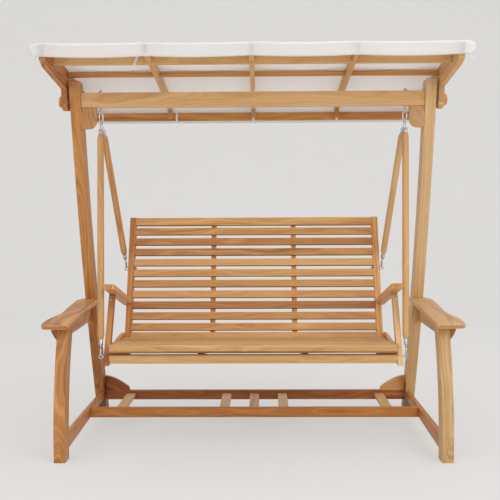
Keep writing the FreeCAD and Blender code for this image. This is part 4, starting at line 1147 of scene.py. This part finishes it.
@dataclass
class HangingBench:
    """Seat, back, arms and the bars that they hang from."""

    body: Body = Body.SWING
    slat_edge: float = 0.003
    back_edge: float = 0.0045
    nose_edge: float = 0.015
    nose_shift: Shift = (-0.002, 0.0)
    top_slat_shift: Shift = (-0.005, 0.0)
    rail_shift: Shift = (0.0, -0.0035)
    rail_crown: float = 0.009
    rail_nose: float = 0.004
    rail_edge: float = 0.0025
    arm_edge: float = 0.004
    nuts: NutStack = field(default_factory=lambda: NutStack(
        across=0.013, height=0.007, washer_radius=0.009, bolt_radius=0.004))
    back_tints: dict[int, float] = field(default_factory=lambda: {
        0: -0.20, 1: 0.10, 2: 0.35, 3: 0.40, 4: -0.25, 5: -0.10,
        6: 0.15, 7: -0.10, 8: 0.50, 9: 0.10, 10: -0.05, 11: -0.25})
    seat_tints: dict[int, float] = field(default_factory=lambda: {
        0: 0.12, 1: -0.65, 2: -0.70, 3: -0.70, 4: -0.20, 5: -0.40})
    # Casts, partly each piece's tone and partly painted light and shade; the dark corner blocks are painted
    # shade in the gap under the seat's nosing
    casts: dict[str, Cast] = field(default_factory=lambda: {
        "hanger_bar_rear_left": (0.35, 0.40), "hanger_bar_rear_right": (-0.30, -0.1),
        "hanger_bar_front_left": (0.25, 0.25), "seat_corner_blocks": (1.1, 0.4),
        "seat_front_rail": (-0.10, -0.25), "seat_slats": (0.0, -0.3),
        "back_stile_left": (0.35, 0.40), "back_stile_right": (-0.20, 0.0), "arm_support_left": (0.75, 0.10),
        "arm_support_right": (-0.40, -0.3)})
    # Painted shade in the grooves between the seat slats
    groove_shade: float = 0.6
    screw_radius: float = 0.0042
    screw_drops: tuple[float, ...] = (0.012, 0.030)

    def build(self, palette: Palette) -> None:
        """Dresses the bench's timbers, bars and hardware.

        Args:
            palette: the materials.
        """
        Timbers(self.body, side_names("seat_arm"), self.arm_edge, SOFT_STEPS).build(palette)
        Timbers(self.body, side_names("seat_side_rail", "back_stile", "arm_support"), self.rail_edge,
                tints=PLAIN, casts=self.casts).build(palette)
        Timbers(self.body, ("seat_slats",), self.slat_edge, SOFT_STEPS, nose=self.nose_edge,
                tints=self.seat_tints, casts=self.casts, under_share=1.0, grooves=self.groove_shade,
                shift=self.nose_shift).build(palette)
        Timbers(self.body, ("back_slats",), self.back_edge, SOFT_STEPS, tints=self.back_tints,
                under_share=1.0, shift=self.top_slat_shift).build(palette)
        Timbers(self.body, ("seat_front_rail",), self.rail_edge, crown=self.rail_crown, nose=self.rail_nose,
                tints=PLAIN, casts=self.casts, shift=self.rail_shift).build(palette)
        Timbers(self.body, ("seat_rear_rail", "seat_bearers", "seat_corner_blocks", "back_battens"),
                self.rail_edge, casts=self.casts).build(palette)
        self.add_bars(palette)
        Hardware(self.body, ("hanger_links", "bar_top_eyes", "bar_snap_hooks",
                             "seat_eye_bolts")).build(palette)
        self.add_nuts(palette)
        self.add_screws(palette)

    def add_bars(self, palette: Palette) -> None:
        """Adds the four turned bars, their ferrules and the gates of their hooks.

        Args:
            palette: the materials.
        """
        ferrules = []
        gates = []
        for node in side_names("hanger_bar_front", "hanger_bar_rear"):
            bar = HangerBar(node)
            wood = bar.wood()
            give_grain(wood, node, PLAIN, self.casts.get(node, NO_CAST))
            add_piece(f"{node}_wood", wood, self.body, Slot.BAR_WOOD, palette, (node,))
            ferrules += bar.ferrules()
            gates += bar.gate()
        add_piece("bar_ferrules_steel", gathered(ferrules), self.body, Slot.STEEL, palette, ("bar_ferrules",))
        add_piece("bar_hook_gates_steel", gathered(gates), self.body, Slot.STEEL, palette)

    def add_nuts(self, palette: Palette) -> None:
        """Adds the nuts inside the back stiles.

        Args:
            palette: the materials.
        """
        parts = []
        for low, high in solid_boxes("seat_eye_nuts"):
            side = math.copysign(1.0, low.x)
            middle = 0.5 * (low + high)
            face = max(abs(low.x), abs(high.x))
            parts += self.nuts.at(Vector((side * face, middle.y, middle.z)), Vector((-side, 0.0, 0.0)))
        add_piece("seat_eye_nuts_steel", gathered(parts), self.body, Slot.STEEL, palette, ("seat_eye_nuts",))

    def screw(self) -> Mesh:
        """Flat screw head with a round drive hole.

        Returns:
            A new bmesh.
        """
        rim = self.screw_radius
        bm = turned([(0.0, 0.0006), (0.40 * rim, 0.0004), (0.45 * rim, 0.0011), (0.8 * rim, 0.0010),
                     (rim, 0.0004), (rim, -0.0015), (0.0, -0.0015)], steps=12)
        keep_sharp(bm)
        return bm

    def add_screws(self, palette: Palette) -> None:
        """Adds the screws that hold the arms, in the front face of each prop below the arm.

        Args:
            palette: the materials.
        """
        parts = []
        for node in side_names("arm_support"):
            bm = merged_copy(node)
            face = max(bm.faces, key=lambda item: -item.normal.y * item.calc_area())
            normal = face.normal.copy()
            middle = face.calc_center_bounds()
            top = max(vert.co.z for vert in face.verts)
            bm.free()
            down = Vector((1.0, 0.0, 0.0)).cross(normal)
            start = middle + down * ((top - middle.z) / down.z)
            parts += [stood(self.screw(), start + down * drop, normal) for drop in self.screw_drops]
        add_piece("arm_screws_steel", gathered(parts), self.body, Slot.STEEL, palette)


@dataclass
class Knob:
    """Turned wooden clamping knob with a ringed face."""

    side: str
    body: Body
    thick: float = 0.020
    radius: float = 0.029

    def build(self, palette: Palette) -> None:
        """Turns the knob where its CAD solid is.

        Args:
            palette: the materials.
        """
        node = f"canopy_knob_{self.side}"
        low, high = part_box(node)
        middle = 0.5 * (low + high)
        way = -1.0 if self.side == "left" else 1.0
        inner = min(abs(low.x), abs(high.x))
        full, rim = self.thick, self.radius
        bm = turned([(0.0, 0.0), (rim - 0.006, 0.0), (rim - 0.002, 0.0015), (rim, 0.005), (rim, 0.011),
                     (rim - 0.0012, 0.0145), (rim - 0.0045, 0.0178), (rim - 0.0095, 0.0194),
                     (rim - 0.0105, 0.0186), (rim - 0.0118, 0.0186), (rim - 0.0128, 0.0195),
                     (0.006, full), (0.0, full)], steps=48)
        keep_sharp(bm)
        stood(bm, Vector((way * inner, middle.y, middle.z)), Vector((way, 0.0, 0.0)))
        give_grain(bm, node)
        add_piece(f"{node}_wood", bm, self.body, Slot.TEAK, palette, (node,))


@dataclass
class Cover:
    """Canvas cover: one sheet over the ribs with a front and a rear valance, and its ties."""

    half_width: float = 1.010
    front_y: float = -0.4943
    rear_y: float = 0.5113
    front_top: float = 1.9288
    bend_y: float = 0.4485
    bend_top: float = 1.8008
    arch: float = 0.012
    front_hem: float = 1.860
    rear_hem: float = 1.674
    fold_radius: float = 0.006
    thick: float = 0.0022
    corner: tuple[float, float] = (0.025, 0.039)
    droop: float = 0.013
    hem_lift: float = 0.006
    cells: tuple[int, int] = (202, 118)
    corner_power: float = 1.5
    # Depth of the cloth between two ribs, at distances along the canopy
    slack_places: tuple[float, ...] = (-0.494, -0.40, -0.345, -0.21, -0.10, -0.05, 0.15, 0.36, 0.45, 0.51)
    slack_depths: tuple[float, ...] = (0.003, 0.002, 0.001, 0.009, 0.0105, 0.0105, 0.016, 0.012, 0.004, 0.0)
    bay_width: float = 0.1
    # Start across and along, lean and depth of each tension fold
    tucks: tuple[tuple[float, float, float, float], ...] = (
        (0.50, 0.02, 1.5, 0.0022), (0.56, -0.05, 1.2, 0.0018), (-0.44, 0.10, 1.1, 0.0014),
        (-0.90, -0.10, 1.4, 0.0015), (0.05, 0.16, -1.3, 0.0013), (-0.10, -0.2, 1.8, 0.0012))
    tuck_middle: float = 0.10
    tuck_reach: float = 0.14
    tuck_width: float = 0.012
    ripple: float = 0.0006
    front_billow: float = 0.0015
    rear_billow: float = 0.002
    rear_drop: float = 0.1
    tie_width: float = 0.012
    tie_thick: float = 0.0012
    tie_shift: float = 0.018
    tie_lean: float = 0.010
    tie_turn: float = 0.004
    tie_levels: int = 2

    def __post_init__(self) -> None:
        """Reads where the ribs are, and lays out the cover's line from the front hem to the rear hem."""
        ribs = solid_boxes("canopy_ribs") + [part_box(node) for node in side_names("canopy_end_rib")]
        self.rib_edges: list[float] = sorted(corner.x for rib in ribs for corner in rib)
        run = np.linspace(0.0, 1.0, 60)
        turn = np.linspace(0.0, 0.5 * math.pi, 12)
        crease = self.fold_radius
        arch_y = self.front_y + crease + run * (self.bend_y - self.front_y - crease)
        share = (arch_y - self.front_y) / (self.bend_y - self.front_y)
        arch_z = self.front_top + share * (self.bend_top - self.front_top) + self.arch * humped(share)
        fold_y = self.front_y + crease * (1.0 - np.cos(turn))
        fold_z = arch_z[0] - crease * (1.0 - np.sin(turn))
        bend = self.rear_y - self.bend_y
        bend_y = self.bend_y + bend * np.sin(turn)
        bend_z = self.bend_top - bend * (1.0 - np.cos(turn))
        self.line_y = np.concatenate(([self.front_y], fold_y, arch_y[1:], bend_y[1:], [self.rear_y]))
        self.line_z = np.concatenate(([self.front_hem], fold_z, arch_z[1:], bend_z[1:], [self.rear_hem]))
        steps = np.hypot(np.diff(self.line_y), np.diff(self.line_z))
        self.line_s = np.concatenate(([0.0], np.cumsum(steps)))
        self.length = float(self.line_s[-1])
        self.fold_s = float(self.line_s[1])

    def slack(self, y: float) -> float:
        """How far the cloth sinks between two ribs at a distance along the canopy."""
        return float(np.interp(y, self.slack_places, self.slack_depths))

    def bay(self, x: float) -> float:
        """Share of the slack at a place across the canopy: nought on a rib, 1 midway between two.

        Args:
            x: the place.

        Returns:
            The share.
        """
        for low, high in zip(self.rib_edges, self.rib_edges[1:]):
            if low <= x <= high and high - low > self.bay_width:
                return humped((x - low) / (high - low))
        return 0.0

    def creases(self, x: float, y: float) -> float:
        """Faint tension folds that run out from the ribs.

        Args:
            x: place across the canopy.
            y: place along it.

        Returns:
            How far the cloth sinks in them.
        """
        depth = 0.0
        for start_x, start_y, lean, height in self.tucks:
            along = y - start_y
            off = (x - start_x) - along / lean
            fade = max(0.0, 1.0 - abs(along - self.tuck_middle) / self.tuck_reach)
            depth += height * fade * math.exp(-(off / self.tuck_width) ** 2)
        return depth

    def place(self, across: float, s: float) -> Vector:
        """Where a point of the flat cut lies on the hung cover.

        Args:
            across: place across the cut, from -1 to 1.
            s: distance from the front hem along the cut.

        Returns:
            The point.
        """
        y = float(np.interp(s, self.line_s, self.line_y))
        z = float(np.interp(s, self.line_s, self.line_z))
        end = self.half_width
        reach = self.corner[1]
        if s < reach:
            end -= self.corner[0] * (1.0 - s / reach) ** self.corner_power
        x = across * end
        sway = self.bay(x)
        over = max(0.0, abs(x) - self.rib_edges[-1]) / (self.half_width - self.rib_edges[-1])
        top_share = held(s / self.fold_s)
        ripple = self.ripple * noise.noise(Vector((5.0 * x, 7.0 * s, 0.3)))
        if s < self.fold_s:
            z += self.hem_lift * (1.0 - top_share) * (1.0 - sway) * (1.0 - over)
            z -= top_share * (self.droop * over ** 2 + sway * self.slack(self.front_y))
            y += self.front_billow * (1.0 - top_share) * sway + ripple
        elif y > self.rear_y - self.rear_billow:
            y += self.rear_billow * sway + ripple
            z -= self.droop * over ** 2 * (z - self.rear_hem) / self.rear_drop
        else:
            z -= self.droop * over ** 2 + sway * self.slack(y) + self.creases(x, y) - ripple
        return Vector((x, y, z))

    def sheet(self) -> Mesh:
        """Shapes a flat grid into the hung cover, with the cut's own UV map.

        Returns:
            A new bmesh.
        """
        bm = bmesh.new()
        bmesh.ops.create_grid(bm, x_segments=self.cells[0], y_segments=self.cells[1], size=1.0)
        weave = bm.loops.layers.uv.new("weave")
        for face in bm.faces:
            for loop in face.loops:
                flat = loop.vert.co
                loop[weave].uv = (flat.x * self.half_width, 0.5 * flat.y * self.length)
        for vert in bm.verts:
            vert.co = self.place(vert.co.x, 0.5 * (vert.co.y + 1.0) * self.length)
        bm.normal_update()
        return bm

    def ribbon(self, path: list[Vector], across: Vector) -> Mesh:
        """Extrudes a short edge along a path into a tie.

        Args:
            path: points along the tie's middle.
            across: direction of its width.

        Returns:
            A new bmesh.
        """
        bm = bmesh.new()
        weave = bm.loops.layers.uv.new("weave")
        half = 0.5 * self.tie_width * across.normalized()
        edge = bm.edges.new((bm.verts.new(path[0] - half), bm.verts.new(path[0] + half)))
        for start, end in zip(path, path[1:]):
            swept = bmesh.ops.extrude_edge_only(bm, edges=[edge])["geom"]
            moved = [item for item in swept if isinstance(item, Vert)]
            bmesh.ops.translate(bm, verts=moved, vec=end - start)
            edge = next(item for item in swept if isinstance(item, Edge) and set(item.verts) == set(moved))
        for face in bm.faces:
            for loop in face.loops:
                loop[weave].uv = (3.0 + loop.vert.co.x, 3.0 + loop.vert.co.y + loop.vert.co.z)
        bmesh.ops.recalc_face_normals(bm, faces=bm.faces)
        return bm

    def rail_ties(self) -> list[Mesh]:
        """Ties where the CAD ones are: round the front rail and over the rear rail.

        Returns:
            New bmeshes.
        """
        ties = []
        for low, high in solid_boxes("canopy_ties"):
            x = 0.5 * (low.x + high.x) + self.tie_shift
            middle = 0.5 * (low.z + high.z)
            turn, lean = self.tie_turn, self.tie_lean
            if high.y < 0.0:
                ring = [(x + lean, low.y, high.z), (x + 0.3 * lean, low.y - 0.001, middle),
                        (x - lean, low.y, low.z + turn), (x - lean, low.y + turn, low.z),
                        (x - lean, high.y - turn, low.z), (x - lean, high.y, low.z + turn),
                        (x, high.y, high.z - turn)]
            else:
                ring = [(x, high.y - 0.002, high.z - 0.001), (x, low.y + turn, high.z),
                        (x, low.y, high.z - turn), (x, low.y - 0.001, middle), (x, low.y, low.z + turn),
                        (x, low.y + turn, low.z), (x, high.y - 0.002, low.z + 0.001)]
            ties.append(self.ribbon([Vector(place) for place in ring], Vector((1.0, 0.0, 0.0))))
        return ties

    def loose_ties(self) -> list[Mesh]:
        """Loose ends that hang from the two front corners of the valance.

        Returns:
            New bmeshes.
        """
        edge = self.half_width - self.corner[0]
        y = self.front_y + 0.003
        hem = self.front_hem
        right = [(edge - 0.004, y, hem + 0.012), (edge + 0.002, y, hem - 0.002),
                 (edge + 0.012, y - 0.002, hem - 0.016), (edge + 0.024, y - 0.001, hem - 0.028)]
        left = [(0.004 - edge, y, hem + 0.012), (-edge, y - 0.002, hem - 0.015),
                (-edge - 0.008, y - 0.003, hem - 0.045), (-edge - 0.010, y, hem - 0.075)]
        across = Vector((0.35, 1.0, 0.25))
        return [self.ribbon([Vector(place) for place in path], across) for path in (left, right)]

    def build(self, palette: Palette, body: Body) -> None:
        """Hangs the cover and its ties.

        Args:
            palette: the materials.
            body: body that they move with.
        """
        cover = add_piece("canopy_cover", self.sheet(), body, Slot.CLOTH, palette, ("canopy_cloth",))
        # Whiter inner face: painted light under the canopy
        cover.data.materials.append(palette.inside)
        self.thicken(cover, self.thick).material_offset = 1
        parts = self.rail_ties() + self.loose_ties()
        ties = add_piece("canopy_cover_ties", gathered(parts), body, Slot.CLOTH, palette, ("canopy_ties",))
        ties.data.materials[0] = palette.tape
        smooth = ties.modifiers.new("soft", "SUBSURF")
        smooth.levels = self.tie_levels
        smooth.render_levels = self.tie_levels
        self.thicken(ties, self.tie_thick)

    def thicken(self, piece: Piece, thick: float) -> bpy.types.Modifier:
        """Gives a sheet its thickness, inwards from its outer face.

        Args:
            piece: the sheet.
            thick: its thickness.

        Returns:
            The modifier.
        """
        wall = piece.modifiers.new("thickness", "SOLIDIFY")
        wall.thickness = thick
        wall.offset = -1.0
        return wall


@dataclass
class Canopy:
    """Tilting wooden canopy frame, its knobs and its canvas cover."""

    body: Body = Body.CANOPY
    end_rib_edge: float = 0.004
    rail_edge: float = 0.0025
    # Casts, partly each piece's tone; the paler ribs and rails are painted light, as if lit through the canvas
    casts: dict[str, Cast] = field(default_factory=lambda: {
        "canopy_ribs": (-0.60, -0.1), "canopy_front_rail": (-0.50, 0.05), "canopy_mid_rail": (-0.45, 0.0),
        "canopy_rear_rail": (0.05, 0.30), "canopy_end_rib_left": (0.25, 0.85),
        "canopy_end_rib_right": (-0.40, 0.0)})

    def build(self, palette: Palette) -> None:
        """Dresses the canopy's timbers, knobs and cover.

        Args:
            palette: the materials.
        """
        Timbers(self.body, side_names("canopy_end_rib"), self.end_rib_edge, SOFT_STEPS, tints=PLAIN,
                casts=self.casts).build(palette)
        Timbers(self.body, ("canopy_ribs", "canopy_front_rail", "canopy_mid_rail", "canopy_rear_rail"),
                self.rail_edge, casts=self.casts).build(palette)
        Knob("left", Body.KNOB_LEFT).build(palette)
        Knob("right", Body.KNOB_RIGHT).build(palette)
        Cover().build(palette, self.body)


# Camera, floor and light

@dataclass(frozen=True)
class Lamp:
    """One square soft lamp."""

    name: str
    place: Place
    aim: Place
    size: float
    power: float

    def add(self) -> None:
        """Puts the lamp in the scene."""
        data = bpy.data.lights.new(self.name, "AREA")
        data.size = self.size
        data.energy = self.power
        lamp = bpy.data.objects.new(self.name, data)
        towards = Vector(self.aim) - Vector(self.place)
        turn = towards.to_track_quat("-Z", "Y").to_matrix().to_4x4()
        lamp.matrix_world = Matrix.Translation(self.place) @ turn
        bpy.context.scene.collection.objects.link(lamp)


LAMPS = (Lamp("key", (3.4, -4.4, 3.4), (0.0, 0.0, 0.8), 3.0, 76.0),
         Lamp("fill", (-3.6, -4.6, 2.6), (0.0, 0.0, 0.8), 3.0, 30.0),
         Lamp("overhead", (0.3, -0.8, 5.2), (0.0, -0.1, 0.0), 4.0, 56.0))


@dataclass
class Studio:
    """Camera at the viewing angle, pale sweep and soft lamps."""

    focal_px: float = 763.6
    camera_x: float = 0.0384
    camera_back: float = 3.4675
    camera_height: float = 1.1805
    yaw: float = -0.0139
    pitch: float = 0.0555
    roll: float = -0.0047
    paper: Colour = field(default_factory=lambda: srgb(233, 232, 230))
    backdrop: Colour = field(default_factory=lambda: srgb(227, 226, 224))
    backdrop_share: float = 0.60
    fleck_shade: float = 0.97
    fleck_scale: Place = (0.6, 0.6, 0.6)
    sweep_half: float = 40.0
    sweep_front: float = -12.0
    sweep_back: float = 4.5
    sweep_radius: float = 3.5
    sweep_height: float = 11.0
    sweep_steps: int = 24
    room_light: float = 0.74

    def add_camera(self) -> None:
        """Adds the camera from its fitted place and angles."""
        data = bpy.data.cameras.new("view")
        data.sensor_width = SENSOR
        data.lens = self.focal_px / IMAGE_SIDE * SENSOR
        camera = bpy.data.objects.new("view", data)
        ahead = Vector((math.sin(self.yaw) * math.cos(self.pitch), math.cos(self.yaw) * math.cos(self.pitch),
                        -math.sin(self.pitch)))
        right = Vector((math.cos(self.yaw), -math.sin(self.yaw), 0.0))
        above = right.cross(ahead)
        turned_right = right * math.cos(self.roll) + above * math.sin(self.roll)
        turned_above = above * math.cos(self.roll) - right * math.sin(self.roll)
        turn = Matrix([turned_right, turned_above, -ahead]).transposed().to_4x4()
        place = Vector((self.camera_x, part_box("front_leg_left")[0].y - self.camera_back, self.camera_height))
        camera.matrix_world = Matrix.Translation(place) @ turn
        bpy.context.scene.collection.objects.link(camera)
        bpy.context.scene.camera = camera

    def paper_material(self) -> Material:
        """Pale paper that takes the shadow, and shows more of its plain colour to the camera and to gloss.

        Returns:
            The material.
        """
        sheet = NodeSheet("studio_paper")
        place = sheet.add("ShaderNodeTexCoord").outputs["Object"]
        fleck = sheet.noise(sheet.stretched(place, self.fleck_scale), 2.0)
        faint = tuple(self.fleck_shade * channel for channel in self.paper)
        sheet.surface(Base_Color=sheet.mix(fleck, self.paper, faint), Roughness=0.9, Specular_IOR_Level=0.1)
        glow = sheet.add("ShaderNodeEmission")
        sheet.put(self.backdrop, glow.inputs["Color"])
        rays = sheet.add("ShaderNodeLightPath").outputs
        seen = sheet.math("MAXIMUM", rays["Is Camera Ray"], rays["Is Glossy Ray"])
        seen = sheet.math("MAXIMUM", seen, rays["Is Transmission Ray"])
        blend = sheet.add("ShaderNodeMixShader")
        sheet.put(sheet.math("MULTIPLY", seen, self.backdrop_share), blend.inputs[0])
        sheet.put(sheet.shader.outputs[0], blend.inputs[1])
        sheet.put(glow.outputs[0], blend.inputs[2])
        sheet.put(blend.outputs[0], sheet.tree.nodes["Material Output"].inputs["Surface"])
        return sheet.material

    def add_sweep(self) -> None:
        """Adds a floor that curves up into a wall."""
        bm = bmesh.new()
        first = bm.verts.new((-self.sweep_half, self.sweep_front, 0.0))
        corner = bm.verts.new((-self.sweep_half, self.sweep_back, 0.0))
        bm.edges.new((first, corner))
        axis = Vector((-self.sweep_half, self.sweep_back, self.sweep_radius))
        bend = bmesh.ops.spin(bm, geom=[corner], cent=axis, axis=(1.0, 0.0, 0.0), angle=math.pi / 2,
                              steps=self.sweep_steps)
        foot = next(item for item in bend["geom_last"] if isinstance(item, Vert))
        wall = bmesh.ops.extrude_vert_indiv(bm, verts=[foot])["verts"]
        bmesh.ops.translate(bm, verts=wall, vec=(0.0, 0.0, self.sweep_height))
        swept = bmesh.ops.extrude_edge_only(bm, edges=bm.edges[:])["geom"]
        moved = [item for item in swept if isinstance(item, Vert)]
        bmesh.ops.translate(bm, verts=moved, vec=(2.0 * self.sweep_half, 0.0, 0.0))
        bmesh.ops.recalc_face_normals(bm, faces=bm.faces)
        mesh = bpy.data.meshes.new("studio_sweep")
        bm.to_mesh(mesh)
        bm.free()
        mesh.polygons.foreach_set("use_smooth", [True] * len(mesh.polygons))
        mesh.materials.append(self.paper_material())
        sweep = bpy.data.objects.new("studio_sweep", mesh)
        bpy.context.scene.collection.objects.link(sweep)

    def light(self) -> None:
        """Adds the lamps and the even light of the room."""
        world = bpy.data.worlds.new("room")
        world.use_nodes = True
        glow = world.node_tree.nodes["Background"].inputs
        glow["Color"].default_value = (1.0, 1.0, 1.0, 1.0)
        glow["Strength"].default_value = self.room_light
        bpy.context.scene.world = world
        for lamp in LAMPS:
            lamp.add()
        bpy.context.scene.view_settings.view_transform = "Standard"

    def build(self) -> None:
        """Adds the camera, the sweep and the light."""
        self.add_camera()
        self.add_sweep()
        self.light()


def main() -> None:
    logging.basicConfig(level=logging.INFO, format="%(message)s")
    palette = Palette()
    for assembly in (StandingFrame(), HangingBench(), Canopy()):
        assembly.build(palette)
    Studio().build()


if __name__ == "__main__":
    main()
